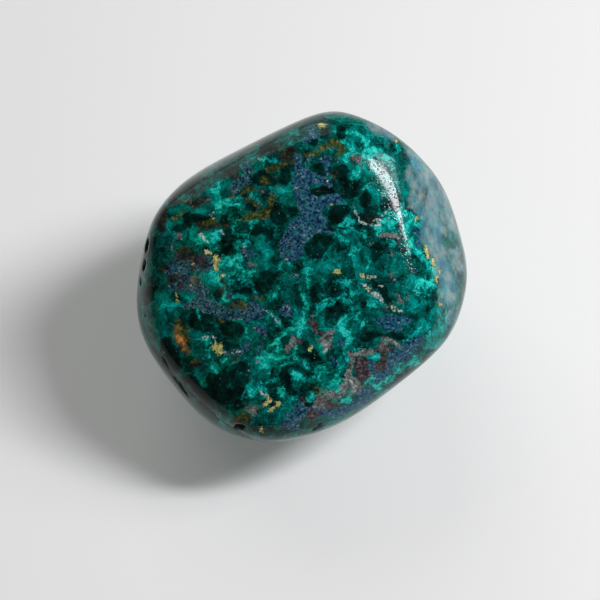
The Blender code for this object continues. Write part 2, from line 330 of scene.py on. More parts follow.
        ((-11.2, 0.6, 0.3), (-10.9, 1.1, 0.35), (-10.2, 1.4, 0.5), (-9.4, 1.3, 0.6),
         (-8.4, 1.4, 0.6)),
        ((-10.6, 0.6, 0.4), (-10.1, 0.3, 0.5), (-9.6, -0.2, 0.5), (-8.9, -0.5, 0.55),
         (-8.3, -1.2, 0.6)),
        ((-11.1, -0.6, 0.35), (-10.7, -0.8, 0.4), (-10.1, -0.6, 0.4), (-9.2, -0.8, 0.4)),
        ((-9.8, -2.3, 0.3), (-9.1, -2.3, 0.4), (-8.5, -1.9, 0.5), (-8.0, -2.4, 0.6),
         (-7.2, -2.6, 0.6)),
        ((-8.2, 2.1, 0.25), (-8.0, 1.2, 0.45), (-8.0, 0.7, 0.3)),
        ((-7.2, -2.6, 0.6), (-6.4, -2.9, 0.55), (-5.8, -3.2, 0.55), (-5.1, -3.0, 0.6),
         (-4.6, -3.5, 0.4)),
        ((-5.0, -2.9, 0.5), (-4.3, -2.6, 0.55), (-3.7, -2.7, 0.5), (-3.2, -2.7, 0.35)),
        ((-4.4, -3.3, 0.4), (-3.7, -3.1, 0.4), (-3.8, -2.2, 0.25)),
        ((-6.2, -1.4, 0.3), (-6.0, -1.0, 0.12)),
        ((-1.3, -2.2, 0.3), (-1.4, -2.7, 0.45), (-0.9, -2.9, 0.35)),
        ((-3.5, -4.3, 0.35), (-3.2, -4.7, 0.25)),
        ((-3.5, -5.7, 0.22), (-3.4, -6.2, 0.22), (-3.8, -6.1, 0.14)),
        ((-6.6, -6.2, 0.22), (-6.2, -6.4, 0.2), (-5.6, -6.2, 0.28), (-5.0, -6.3, 0.2),
         (-4.6, -5.8, 0.28)),
        ((6.6, -3.5, 0.25), (7.2, -3.6, 0.45), (7.9, -3.6, 0.5), (8.6, -3.5, 0.45),
         (9.1, -3.4, 0.2)),
        ((7.2, -4.1, 0.35), (7.9, -4.2, 0.35), (8.6, -4.1, 0.3)),
        ((3.4, -5.4, 0.3), (3.6, -5.7, 0.25)),
        ((2.6, -6.8, 0.22), (2.9, -7.2, 0.16)),
        ((-0.2, -10.8, 0.35), (-0.2, -11.4, 0.5), (-0.9, -11.8, 0.5), (-1.3, -12.3, 0.4),
         (-0.5, -12.5, 0.4)),
        ((0.3, -11.2, 0.25), (1.9, -11.3, 0.4), (2.7, -11.5, 0.4), (3.5, -11.3, 0.4),
         (4.4, -10.9, 0.4)),
        ((4.4, -10.9, 0.35), (5.3, -10.5, 0.45), (5.8, -9.8, 0.4), (5.1, -9.7, 0.35)),
        ((5.6, -7.7, 0.35), (6.0, -7.1, 0.25), (6.4, -8.0, 0.4), (6.9, -8.3, 0.45),
         (6.5, -8.8, 0.3)),
        ((7.0, -8.0, 0.4), (7.5, -7.4, 0.5), (8.1, -6.9, 0.5), (8.8, -6.5, 0.5), (9.4, -6.0, 0.5)),
        ((7.6, -6.7, 0.4), (8.4, -6.2, 0.35), (9.2, -5.6, 0.4), (9.9, -5.4, 0.4),
         (10.2, -5.1, 0.25)),
        ((9.7, 4.1, 0.2), (10.1, 3.7, 0.3), (10.0, 3.0, 0.25), (10.2, 2.5, 0.1)),
    ),
    # Brown stains. The chains that run along the lower-left rim, from (-12.7, -5.9) round to (-5.9,
    # -13.1), are painted shade: a dark brown band for the shadowed edge's dark reflection.
    Mineral.STAIN: (
        ((-12.7, -5.9, 0.2), (-12.1, -6.8, 0.3), (-11.4, -7.8, 0.3), (-10.8, -8.8, 0.3)),
        ((-10.8, -8.8, 0.3), (-10.1, -9.9, 0.35), (-9.2, -11.0, 0.35), (-8.2, -11.8, 0.28)),
        ((-8.2, -11.8, 0.28), (-7.0, -12.6, 0.22), (-5.9, -13.1, 0.16)),
        ((-13.5, 2.2, 0.3), (-13.6, 0.8, 0.3)),
        ((-11.8, 5.2, 0.3), (-11.8, 4.3, 0.25)),
        ((-10.3, 2.0, 0.45), (-9.5, 1.9, 0.6), (-8.6, 1.7, 0.5), (-8.3, 1.1, 0.35),
         (-8.5, 0.6, 0.2)),
        ((-11.6, 0.9, 0.25), (-11.2, 1.0, 0.2)),
        ((-11.1, -0.1, 0.3), (-10.6, 0.1, 0.3), (-10.2, 0.2, 0.2)),
        ((-10.4, -0.9, 0.25), (-9.9, -0.4, 0.25)),
        ((-8.9, -0.1, 0.2), (-8.5, -0.6, 0.2)),
        ((-9.2, 0.9, 0.35), (-9.0, 0.4, 0.2)),
        ((-1.1, 10.7, 0.3), (-0.6, 10.8, 0.3), (-1.4, 10.2, 0.3), (-0.8, 9.9, 0.2)),
        ((-5.6, 9.1, 0.5), (-5.6, 8.7, 0.4), (-6.4, 8.8, 0.3)),
        ((-8.6, 6.8, 0.3), (-8.0, 6.6, 0.3), (-9.3, 6.3, 0.3)),
        ((-8.5, 4.4, 0.35), (-7.8, 4.2, 0.35), (-7.3, 4.4, 0.3), (-6.6, 4.4, 0.3)),
        ((-6.8, -0.1, 0.2), (-6.6, -0.7, 0.14), (-7.0, -1.2, 0.2)),
        ((-5.9, -2.1, 0.25), (-5.4, -2.2, 0.2)),
        ((-12.2, 4.7, 0.35), (-11.9, 4.0, 0.3), (-11.7, 5.7, 0.3)),
        ((-9.0, -7.4, 0.2), (-8.7, -6.9, 0.2)),
        ((-5.6, -6.8, 0.2), (-5.3, -6.7, 0.16)),
        ((-5.5, -12.2, 0.4), (-5.0, -12.4, 0.4), (-4.7, -11.9, 0.4)),
        ((-12.4, -7.2, 0.4), (-11.6, -8.3, 0.35), (-10.8, -9.3, 0.4), (-9.9, -10.3, 0.35),
         (-8.8, -11.5, 0.35)),
        ((-8.8, -11.5, 0.3), (-7.6, -12.4, 0.3), (-6.4, -13.0, 0.3)),
        ((6.6, 5.2, 0.16), (5.6, 4.9, 0.16)),
        ((7.0, -2.8, 0.25), (7.6, -2.9, 0.14)),
        ((2.9, 9.2, 0.2), (2.9, 8.8, 0.2)),
        ((4.7, 10.3, 0.3), (4.5, 10.0, 0.2)),
        ((5.3, 5.2, 0.16), (5.2, 5.0, 0.14), (5.7, 5.0, 0.08)),
    ),
    Mineral.OCHRE: (
        ((0.2, 10.5, 0.12), (0.8, 10.8, 0.18), (1.5, 11.1, 0.22), (2.0, 11.4, 0.25)),
        ((2.4, 11.6, 0.3), (2.9, 11.6, 0.4), (3.4, 11.1, 0.35), (3.4, 10.7, 0.2)),
        ((-3.0, 9.15, 0.12), (-2.4, 9.4, 0.16), (-1.7, 9.6, 0.2), (-1.1, 9.7, 0.16)),
        ((-1.8, 11.2, 0.16), (-1.5, 11.0, 0.14)),
        ((-5.1, 4.95, 0.12), (-4.5, 5.1, 0.3), (-4.1, 5.3, 0.4), (-3.5, 5.5, 0.35),
         (-3.0, 5.8, 0.3)),
        ((-3.3, 5.2, 0.2), (-2.9, 5.3, 0.2), (-2.8, 5.8, 0.2), (-2.8, 6.4, 0.2), (-2.4, 6.9, 0.25)),
        ((-4.6, 7.8, 0.25), (-4.0, 7.7, 0.2), (-5.0, 7.2, 0.2)),
        ((-4.4, 6.7, 0.25), (-3.7, 6.4, 0.2)),
        ((-9.9, 2.55, 0.14), (-10.3, 2.4, 0.14)),
        ((-7.6, 4.8, 0.3), (-8.2, 4.7, 0.3)),
        ((-4.9, -2.3, 0.25), (-4.7, -2.6, 0.16), (-5.2, -2.1, 0.14)),
        ((-6.8, -3.5, 0.12), (-6.5, -3.7, 0.1)),
        ((-6.4, -3.8, 0.1),),
        ((-9.4, -7.35, 0.08), (-9.1, -7.25, 0.12), (-8.9, -7.15, 0.1)),
        ((-5.5, -11.9, 0.25), (-5.0, -11.9, 0.25), (-4.7, -12.3, 0.16), (-5.0, -11.3, 0.16)),
        ((-5.5, -6.8, 0.12), (-5.2, -6.7, 0.1)),
        ((-3.3, -1.4, 0.14), (-3.5, -1.6, 0.1)),
        ((-10.5, -3.6, 0.25), (-10.0, -4.3, 0.3), (-9.6, -5.2, 0.25)),
        ((-3.2, 8.4, 0.2), (-2.8, 8.2, 0.15)),
        ((-4.9, 6.6, 0.12), (-4.5, 6.6, 0.12)),
        ((-6.2, 6.9, 0.15), (-5.7, 7.1, 0.15)),
        ((-1.9, 7.9, 0.16),),
        ((-9.9, 5.6, 0.15), (-10.6, 5.0, 0.15)),
        ((7.4, -2.3, 0.08), (7.7, -2.1, 0.1)),
        ((1.0, -9.6, 0.08), (1.8, -9.5, 0.08)),
    ),
    Mineral.RUST: (
        ((0.6, -3.9, 0.2), (1.1, -4.0, 0.3), (1.4, -4.4, 0.28), (1.8, -4.7, 0.3),
         (2.2, -5.0, 0.28)),
        ((1.9, -5.4, 0.3), (2.4, -5.5, 0.25), (2.1, -5.8, 0.2)),
        ((-0.6, -5.1, 0.22), (-0.2, -5.4, 0.2), (0.2, -5.2, 0.14)),
        ((4.9, -7.2, 0.4), (5.4, -7.0, 0.35), (5.4, -7.6, 0.35), (4.9, -7.7, 0.3)),
        ((4.8, -8.2, 0.2), (5.5, -8.3, 0.3), (5.7, -8.1, 0.25), (5.3, -8.8, 0.2)),
        ((6.5, -7.4, 0.3), (6.9, -7.2, 0.35), (7.0, -6.6, 0.3)),
        ((6.6, -6.0, 0.3), (7.2, -6.1, 0.35), (7.7, -6.1, 0.25)),
        ((2.4, -10.6, 0.2), (2.8, -10.7, 0.3), (3.1, -10.8, 0.22)),
        ((0.6, -11.5, 0.3), (0.9, -11.7, 0.35), (1.4, -11.6, 0.2), (0.8, -11.2, 0.14)),
        ((0.0, -10.3, 0.2), (0.2, -10.5, 0.14)),
        ((-4.0, -1.5, 0.16), (-4.2, -1.4, 0.08)),
        ((-8.6, 0.3, 0.12), (-8.5, 0.1, 0.1)),
        ((8.1, 3.6, 0.2), (8.4, 3.4, 0.16), (8.4, 2.9, 0.08)),
        ((-8.2, 6.6, 0.16),),
        ((-9.3, 6.2, 0.16),),
        ((-4.8, 6.7, 0.14),),
        ((-3.4, 7.3, 0.12), (-3.6, 7.7, 0.08)),
        ((-2.1, 8.6, 0.1),),
        ((-12.1, -2.55, 0.12),),
        ((-12.6, -0.7, 0.12),),
    ),
    Mineral.CRUST: (
        ((6.9, 3.5, 0.1), (7.3, 3.7, 0.22), (7.6, 3.4, 0.2), (8.0, 3.7, 0.22), (8.3, 3.5, 0.16)),
        ((4.4, -6.5, 0.3), (5.1, -6.3, 0.3), (5.8, -6.3, 0.28), (6.2, -6.0, 0.22)),
        ((6.9, -5.8, 0.25), (7.2, -5.3, 0.22), (7.5, -5.5, 0.16), (8.0, -5.6, 0.25),
         (8.5, -5.8, 0.18)),
        ((4.3, -7.0, 0.22), (4.3, -7.6, 0.2), (4.1, -8.2, 0.28), (4.4, -8.6, 0.35),
         (4.3, -9.2, 0.4)),
        ((4.7, -8.6, 0.3), (5.0, -9.1, 0.25), (4.4, -9.7, 0.25)),
        ((4.1, -8.0, 0.16), (3.6, -9.2, 0.25), (3.5, -9.7, 0.28), (2.9, -9.9, 0.28),
         (2.4, -10.0, 0.28)),
        ((2.4, -10.0, 0.25), (1.9, -9.9, 0.28), (1.4, -10.1, 0.25), (1.6, -10.5, 0.3),
         (2.1, -10.5, 0.3)),
        ((1.3, -10.8, 0.2), (1.9, -10.9, 0.2)),
        ((-1.2, -6.1, 0.22), (-0.8, -5.7, 0.25), (-0.5, -5.9, 0.16), (-0.7, -5.2, 0.16)),
        ((1.5, -5.1, 0.22), (1.8, -5.5, 0.3), (2.1, -5.9, 0.28), (1.8, -6.3, 0.14),
         (2.4, -5.3, 0.2)),
        ((1.9, -4.8, 0.16), (2.4, -4.6, 0.12), (2.6, -4.5, 0.08)),
        ((1.0, -3.4, 0.16),),
        ((-4.5, -11.1, 0.3), (-4.1, -11.1, 0.3), (-3.9, -11.5, 0.28)),
        ((4.9, 10.2, 0.25), (4.6, 10.4, 0.2), (5.1, 9.4, 0.16)),
        ((-10.3, 6.4, 0.06), (-9.6, 6.6, 0.12), (-9.3, 6.6, 0.08)),
        ((-7.9, 6.6, 0.08), (-7.6, 6.7, 0.06)),
        ((-11.0, 2.9, 0.1), (-10.9, 2.5, 0.06)),
        ((-10.7, 3.6, 0.1), (-10.4, 3.5, 0.06)),
        ((-4.4, 1.2, 0.1), (-4.1, 1.1, 0.12), (-3.8, 1.1, 0.06)),
        ((6.1, 3.1, 0.12), (5.8, 2.9, 0.08)),
        ((7.5, 2.6, 0.06), (7.6, 2.3, 0.08), (7.7, 1.9, 0.1)),
        ((8.2, -1.2, 0.1), (8.4, -1.6, 0.16), (8.4, -1.9, 0.12), (8.9, -1.7, 0.08)),
        ((7.7, 0.3, 0.1), (7.9, 0.0, 0.08), (7.9, -0.3, 0.06)),
        ((9.2, 7.0, 0.14), (9.3, 6.7, 0.1)),
        ((9.2, 6.0, 0.16), (9.5, 6.2, 0.12), (9.6, 5.8, 0.12)),
        ((-3.4, -6.9, 0.08), (-3.7, -7.3, 0.08)),
    ),
    # The milky skin over the right flank and the corner above it is partly a real milky crust and
    # partly painted reflection: the pale sheen that the flank mirrors.
    Mineral.MILK: (
        ((9.3, 11.2, 0.4), (9.9, 9.8, 0.6), (10.5, 8.4, 0.8), (11.1, 9.3, 0.6)),
        ((9.2, 9.0, 0.35), (9.8, 7.9, 0.45), (10.0, 7.0, 0.4)),
        ((12.1, 8.0, 0.6), (12.4, 6.0, 0.5), (12.9, 4.2, 0.5)),
        ((9.7, 6.9, 0.35), (10.0, 5.8, 0.4), (10.5, 4.9, 0.35)),
        ((11.4, 7.3, 0.6), (11.0, 6.0, 0.6), (11.2, 4.6, 0.6), (11.6, 3.2, 0.6)),
        ((11.6, 3.2, 0.5), (12.1, 1.4, 0.6), (12.7, -0.4, 0.6), (12.4, -1.8, 0.6)),
        ((13.2, 2.2, 0.4), (13.5, 0.6, 0.35)),
        ((12.9, -2.8, 0.35), (12.6, -3.6, 0.3)),
        ((10.5, 4.9, 0.35), (10.6, 3.9, 0.35), (11.0, 2.9, 0.4), (11.6, 1.6, 0.4),
         (11.9, 0.4, 0.35)),
        ((7.6, 12.2, 0.4), (6.2, 13.0, 0.3)),
    ),
    Mineral.CREAM: (
        ((-7.6, -5.9, 0.1), (-7.3, -5.9, 0.2), (-7.0, -6.1, 0.26), (-6.8, -5.8, 0.16),
         (-6.7, -5.5, 0.08)),
        ((-7.2, -5.5, 0.12), (-7.3, -5.9, 0.16)),
        ((-7.0, -6.4, 0.14),),
        ((-7.4, 1.9, 0.14), (-7.2, 1.7, 0.16), (-6.9, 1.55, 0.14)),
        ((-7.35, 1.6, 0.16), (-7.3, 1.2, 0.2), (-7.2, 0.85, 0.18)),
        ((-8.15, 2.35, 0.08), (-8.0, 2.2, 0.14), (-7.7, 2.15, 0.06)),
        ((-6.8, 0.3, 0.08), (-6.5, 0.2, 0.06)),
        ((-10.7, -1.4, 0.08), (-10.6, -1.7, 0.08), (-10.5, -1.95, 0.06)),
        ((5.0, 0.3, 0.06), (5.35, 0.12, 0.13), (5.7, 0.0, 0.08)),
        ((5.3, -0.65, 0.06), (5.6, -0.85, 0.12), (5.85, -1.05, 0.08)),
        ((7.8, -2.4, 0.06), (8.1, -2.55, 0.1), (8.35, -2.65, 0.06)),
        ((-3.0, -10.6, 0.18), (-3.2, -10.8, 0.1)),
        ((-2.8, -10.1, 0.16), (-2.6, -10.3, 0.16)),
        ((-1.95, -10.6, 0.2),),
        ((-2.3, -11.0, 0.14), (-2.6, -11.25, 0.16)),
        ((-3.4, -12.85, 0.14),),
        ((3.1, 0.65, 0.26),),
        ((10.6, 2.7, 0.14), (10.7, 2.3, 0.2), (10.8, 1.9, 0.14)),
        ((11.2, 1.6, 0.12), (11.3, 1.2, 0.12)),
        ((11.5, 0.2, 0.12), (11.5, -0.1, 0.16)),
        ((11.8, 0.7, 0.12),),
        ((11.8, -2.2, 0.12),),
        ((1.6, 13.0, 0.14), (2.1, 13.05, 0.12)),
        ((8.0, 11.7, 0.14),),
        ((9.75, 5.1, 0.12),),
        ((-1.0, 3.0, 0.08),),
        ((-0.2, 4.7, 0.08),),
        ((2.2, 8.35, 0.08),),
        ((2.6, 6.3, 0.08),),
        ((0.9, -5.6, 0.06), (0.6, -6.1, 0.08)),
        ((-9.1, 1.3, 0.06), (-9.2, 1.1, 0.06)),
        ((-3.9, -4.2, 0.06),),
    ),
    # The orange inclusion; its bright core is a painted glint, the light caught inside it.
    Mineral.AMBER: (
        ((-10.6, -4.2, 0.06), (-10.4, -4.8, 0.2), (-10.25, -5.2, 0.3), (-10.05, -5.6, 0.16)),
        ((-9.9, -6.0, 0.08), (-9.6, -6.3, 0.06)),
        ((-9.1, -0.15, 0.08), (-9.2, -0.05, 0.06)),
    ),
    Mineral.PALE: (
        ((4.35, 6.1, 0.06), (4.6, 5.9, 0.07), (4.6, 5.6, 0.07), (4.9, 5.3, 0.07), (5.0, 5.0, 0.06)),
        ((5.1, 4.8, 0.12), (5.4, 4.7, 0.08), (6.0, 4.6, 0.06), (6.6, 4.5, 0.08), (6.9, 4.8, 0.06)),
        ((6.1, 4.9, 0.06), (6.6, 5.0, 0.1), (6.9, 4.9, 0.06)),
        ((6.9, 5.3, 0.08), (7.3, 5.8, 0.06), (7.7, 5.9, 0.05)),
        ((5.2, 0.35, 0.05), (5.6, 0.15, 0.08), (6.0, 0.15, 0.1), (6.6, 0.3, 0.06)),
        ((5.15, -0.5, 0.04), (5.5, -0.6, 0.1)),
        ((5.75, -0.75, 0.12), (6.0, -0.95, 0.05)),
        ((5.9, -1.25, 0.06), (6.25, -1.35, 0.18), (6.5, -1.6, 0.14)),
        ((6.6, -1.3, 0.06), (6.75, -1.75, 0.16), (6.95, -1.95, 0.06)),
        ((7.15, -2.2, 0.04), (7.25, -2.5, 0.1)),
        ((7.6, -2.1, 0.04), (7.75, -2.45, 0.1), (7.9, -2.75, 0.12)),
        ((8.3, -2.8, 0.07), (8.6, -2.65, 0.04)),
        ((6.6, -0.6, 0.05), (6.9, -0.7, 0.08)),
        ((-3.2, -2.6, 0.06), (-2.9, -2.9, 0.06), (-2.4, -3.1, 0.05), (-2.1, -3.6, 0.06),
         (-1.8, -3.8, 0.04)),
        ((-1.0, -2.6, 0.08),),
        ((-7.7, 5.55, 0.06), (-7.75, 5.3, 0.06), (-7.6, 5.1, 0.06), (-7.4, 5.1, 0.05)),
        ((-7.4, 5.6, 0.05), (-7.25, 5.4, 0.04)),
        ((-8.6, 3.75, 0.08), (-8.2, 3.6, 0.1), (-8.0, 3.1, 0.05)),
        ((-6.8, 3.9, 0.08), (-6.6, 3.7, 0.06), (-6.8, 3.5, 0.05)),
        ((-6.1, 3.0, 0.08),),
        ((-3.6, 6.5, 0.06), (-3.3, 6.4, 0.05)),
        ((-2.7, 7.2, 0.05),),
        ((-2.2, 8.1, 0.05),),
        ((-3.9, 8.1, 0.05),),
        ((-5.2, 7.6, 0.05),),
        ((-4.8, 2.7, 0.06),),
        ((-3.6, 10.3, 0.05), (-3.4, 9.9, 0.04)),
        ((-5.8, 0.35, 0.06),),
        ((-7.0, -0.1, 0.1),),
        ((2.8, 1.95, 0.03),),
        ((2.95, -2.85, 0.03),),
        ((-7.5, -4.9, 0.1), (-7.3, -5.2, 0.1)),
        ((-8.3, -5.0, 0.08), (-7.9, -5.05, 0.08)),
        ((-5.9, -6.4, 0.05), (-5.4, -6.2, 0.05), (-5.1, -6.3, 0.03)),
        ((-6.6, -6.3, 0.06), (-6.3, -6.5, 0.06)),
        ((-5.6, -7.1, 0.06),),
        ((-4.45, -7.8, 0.03),),
        ((-3.5, -9.6, 0.1), (-3.3, -9.8, 0.08), (-2.75, -9.95, 0.08)),
        ((2.0, -5.5, 0.1), (2.2, -5.9, 0.1), (1.9, -6.2, 0.08)),
        ((10.2, -4.3, 0.08),),
        ((4.1, -8.6, 0.1), (4.3, -8.9, 0.08)),
        ((4.4, -9.3, 0.07),),
        ((-2.25, -8.8, 0.02),),
    ),
}

# Eight open pits at the pebble's left and lower edges, and then two shallow worn dents, in the
# same terms, each with how deep it goes in mm.
PITS: tuple[tuple[Chain, float], ...] = (
    (((-13.05, 3.1, 0.24), (-13.15, 2.6, 0.34)), 0.6),
    (((-13.25, 1.35, 0.18), (-13.35, 0.95, 0.24)), 0.45),
    (((-13.65, -0.1, 0.16), (-13.6, -0.45, 0.16)), 0.35),
    (((-13.3, -3.2, 0.12),), 0.25),
    (((-10.75, -8.5, 0.16), (-10.35, -8.95, 0.34), (-9.9, -9.6, 0.26), (-9.7, -9.9, 0.12)), 0.7),
    (((-11.75, -6.75, 0.1), (-11.6, -7.0, 0.13), (-11.35, -7.5, 0.1)), 0.3),
    (((-5.65, -12.7, 0.14), (-5.3, -12.6, 0.24), (-4.95, -12.6, 0.2)), 0.5),
    (((1.75, -12.3, 0.12), (1.5, -12.6, 0.14), (1.1, -12.85, 0.1)), 0.3),
    (((-11.6, 0.85, 0.2), (-11.35, 0.85, 0.14)), 0.2),
    (((1.5, 7.5, 0.25), (2.4, 7.4, 0.25)), 0.12),
)

# Seams on the sides that are turned away: how many, how many spots at most in one, and the
# least and greatest half width in mm.
HIDDEN_SEAMS: dict[Mineral, tuple[int, int, float, float]] = {
    Mineral.TEAL: (60, 4, 0.3, 0.7),
    Mineral.LACE: (230, 5, 0.1, 0.35),
    Mineral.DARK: (110, 3, 0.25, 0.7),
    Mineral.MILK: (30, 4, 0.3, 0.7),
    Mineral.BLUE: (52, 5, 0.3, 0.85),
    Mineral.STAIN: (42, 4, 0.2, 0.5),
    Mineral.OCHRE: (34, 3, 0.12, 0.35),
    Mineral.RUST: (32, 4, 0.15, 0.4),
    Mineral.CRUST: (46, 4, 0.12, 0.35),
    Mineral.CREAM: (44, 3, 0.08, 0.22),
    Mineral.AMBER: (4, 3, 0.12, 0.25),
    Mineral.PALE: (60, 3, 0.05, 0.14),
}

# How far outside its seams a mineral's depth is still measured.
OUTLINE_LIMIT_MM = 3.0

# The noise that strays every outline: the size of its largest swells, how many times they are
# broken up into smaller ones, and where in it the stray along each axis is read.
STRAY_MM = 1.1
STRAY_OCTAVES = 3
STRAY_APART = ((9.321, -1.531, -7.951), (0.0, 0.0, 0.0), (6.327, 0.167, -2.672))

# The size of the crystals whose facets the outlines of the dark mineral keep to.
CRYSTAL_MM = 0.7

# A squared length that is too short to divide by.
SHORTEST = 1e-12

# The inputs of a Mix node for two numbers and for two colours.
VALUE_A, VALUE_B, COLOUR_A, COLOUR_B = 2, 3, 6, 7


def linear(hex_colour: str) -> tuple[float, float, float, float]:
    """Turn an sRGB hex colour to linear.

    Args:
        hex_colour: Six hex digits, red first.

    Returns:
        The colour as linear red, green and blue with full alpha.
    """
    parts = [int(hex_colour[start : start + 2], 16) / 255.0 for start in (0, 2, 4)]
    curved = [p / 12.92 if p <= 0.04045 else ((p + 0.055) / 1.055) ** 2.4 for p in parts]
    return (curved[0], curved[1], curved[2], 1.0)


@dataclass(frozen=True)
class Growth:
    """How one mineral grows away from its mapped outline, and its colours.

    Attributes:
        stray_mm: How far its outline strays sideways.
        spread_mm: How far its ragged edge swells and shrinks.
        speck_mm: How far single grains of it lie outside that edge, or are missing inside.
        soft_mm: Half the width over which it fades into its neighbour.
        bay_mm: The size of the largest bays and spurs along the edge.
        cover: How opaque it is over what it grew on.
        cloud_mm: The size of the clouds of tone inside it.
        tones: Its tones from dark to light.
        rim: The colour of the thin seam along its edge, if it has one.
        grit: How strongly its finest grains of tone show.
    """

    stray_mm: float
    spread_mm: float
    speck_mm: float
    soft_mm: float
    bay_mm: float
    cover: float = 1.0
    cloud_mm: float = 0.3
    tones: tuple[str, ...] = ()
    rim: str = ""
    grit: float = 0.85


GROWTH: dict[Mineral, Growth] = {
    Mineral.TEAL: Growth(0.5, 1.3, 0.1, 0.35, 0.9),
    Mineral.LACE: Growth(0.45, 0.9, 0.14, 0.14, 0.35),
    Mineral.DARK: Growth(0.25, 0.55, 0.05, 0.1, 0.5, 0.9),
    Mineral.BLUE: Growth(0.25, 0.5, 0.12, 0.03, 0.3, 0.96),
    # Brown stains, and the painted shade along the lower-left rim.
    Mineral.STAIN: Growth(
        0.4, 1.2, 0.1, 0.25, 0.4, 0.8, 0.4, ("060504", "1a110c", "3a281c", "6a5440")
    ),
    Mineral.OCHRE: Growth(
        0.4, 0.9, 0.12, 0.14, 0.3, 0.85, 0.3, ("0a1408", "2a380f", "5a5c20", "a89c60")
    ),
    Mineral.RUST: Growth(
        0.3, 0.7, 0.1, 0.05, 0.3, 0.92, 0.3, ("0e0a0c", "302226", "544246", "949496")
    ),
    Mineral.CRUST: Growth(
        0.35, 0.9, 0.16, 0.08, 0.25, 0.85, 0.34, ("201c1c", "665a56", "8a9694", "d4f8f4"), grit=1.0
    ),
    # The milky skin, whose pale tones on the right flank are partly painted reflection.
    Mineral.MILK: Growth(
        0.5, 1.4, 0.15, 0.45, 0.6, 0.72, 1.1, ("4c7c9a", "6298a4", "88a4aa", "a6b0a8"), grit=0.5
    ),
    Mineral.CREAM: Growth(
        0.15, 0.45, 0.2, 0.03, 0.16, 0.95, 0.2, ("545420", "acac58", "dcd890", "fafae0"), "080604"
    ),
    # The orange inclusion: its lightest tones are a painted glint.
    Mineral.AMBER: Growth(
        0.1, 0.5, 0.05, 0.30, 0.4, 0.9, 0.6, ("3a2810", "9a6026", "e49444", "ffd894")
    ),
    Mineral.PALE: Growth(
        0.14, 0.24, 0.14, 0.03, 0.16, 0.9, 0.2, ("142426", "88a4a4", "d8e8e4", "ffffff")
    ),
}

# The minerals that lie over the green crystals, from the lowest to the last that grew.
OVERLAID = (
    Mineral.BLUE, Mineral.STAIN, Mineral.OCHRE, Mineral.RUST, Mineral.CRUST, Mineral.MILK,
    Mineral.CREAM, Mineral.AMBER, Mineral.PALE,
)


@dataclass(frozen=True)
class Cloud:
    """One cloudy pattern in the rock, and how its values are stretched.

    Attributes:
        size_mm: The size of its largest clouds.
        detail: How many times they are broken up into smaller ones.
        grit: How strongly the smallest ones show.
        span: The raw values that are stretched.
        onto: The values that the span is stretched onto.
        flows: Whether it is drawn out along the rock's flow.
    """

    size_mm: float
    detail: float
    grit: float
    span: tuple[float, float] = (0.0, 1.0)
    onto: tuple[float, float] = (0.0, 1.0)
    flows: bool = False


# The cloudy patterns: how thin the crystals are to the eye, the hills whose middle line is a vein,
# the crumbs and the fibrous dust of the turquoise, the mossy patches, the rock's shades, and the
# patches where the polish is worn. Their sizes are those of a pebble of this kind, but for the
# fibres. Those are a few hundredths of a millimetre thick, too fine to show, so they are drawn as
# coarse as they need to be.
CLOUDS: dict[str, Cloud] = {
    "depth": Cloud(1.7, 10.0, 0.74, (0.25, 0.75), (0.06, 0.76), flows=True),
    "vein": Cloud(0.77, 7.0, 0.68, onto=(-0.5, 0.5), flows=True),
    "crumb": Cloud(0.45, 6.0, 0.8, (0.42, 0.6), flows=True),
    "dust": Cloud(0.24, 4.0, 0.9, onto=(-0.5, 0.5)),
    "moss": Cloud(2.2, 4.0, 0.5, (0.4, 0.64)),
    "rock": Cloud(0.77, 8.0, 0.75),
    "wear": Cloud(1.2, 5.0, 0.6, (0.4, 0.6)),
}

# The size of each kind of cell in mm: the rock's grains, the large and the small crystals, the
# single pale grains among them, and the grains that the polishing plucks out. Those last are
# about half this size, too fine to show, so they are drawn as coarse as they need to be.
CELLS_MM: dict[str, float] = {
    "grain": 0.14, "crystal": 1.7, "small_crystal": 0.5, "fleck": 0.24, "plucked": 0.2,
}

# Colours along each pattern: the crystals from deep to thin, the rock's grains, the rock's
# clouds, and the rock from the pebble's -X side to its +X side.
CRYSTAL_TONES = {
    0.02: "000504", 0.15: "00120f", 0.28: "002824", 0.42: "004a44", 0.55: "006e66",
    0.68: "009088", 0.82: "00b8ac", 1.0: "34e4d4",
}
GRAIN_TONES = {
    0.0: "1c2e60", 0.13: "284e74", 0.3: "366a82", 0.52: "4a8290", 0.68: "1e6e6e",
    0.78: "162c36", 0.84: "607e94", 0.93: "789c9e", 0.99: "b8b4a0",
}
ROCK_SHADES = {0.36: "8a98b8", 0.5: "ccd8dc", 0.62: "f4fff8"}
SIDE_TINTS = {0.0: "fff4dc", 0.5: "f0ffff", 1.0: "ccfcff"}

# Where along its clouds each of a mineral's tones lies.
TONE_PLACES = (0.36, 0.47, 0.55, 0.65)

# How many times the clouds of tone, and the bays along an edge, are broken up into smaller ones,
# and how strongly the smallest bays show.
TONE_DETAIL = 5.0
EDGE_DETAIL = 8.0
EDGE_GRIT = 0.72


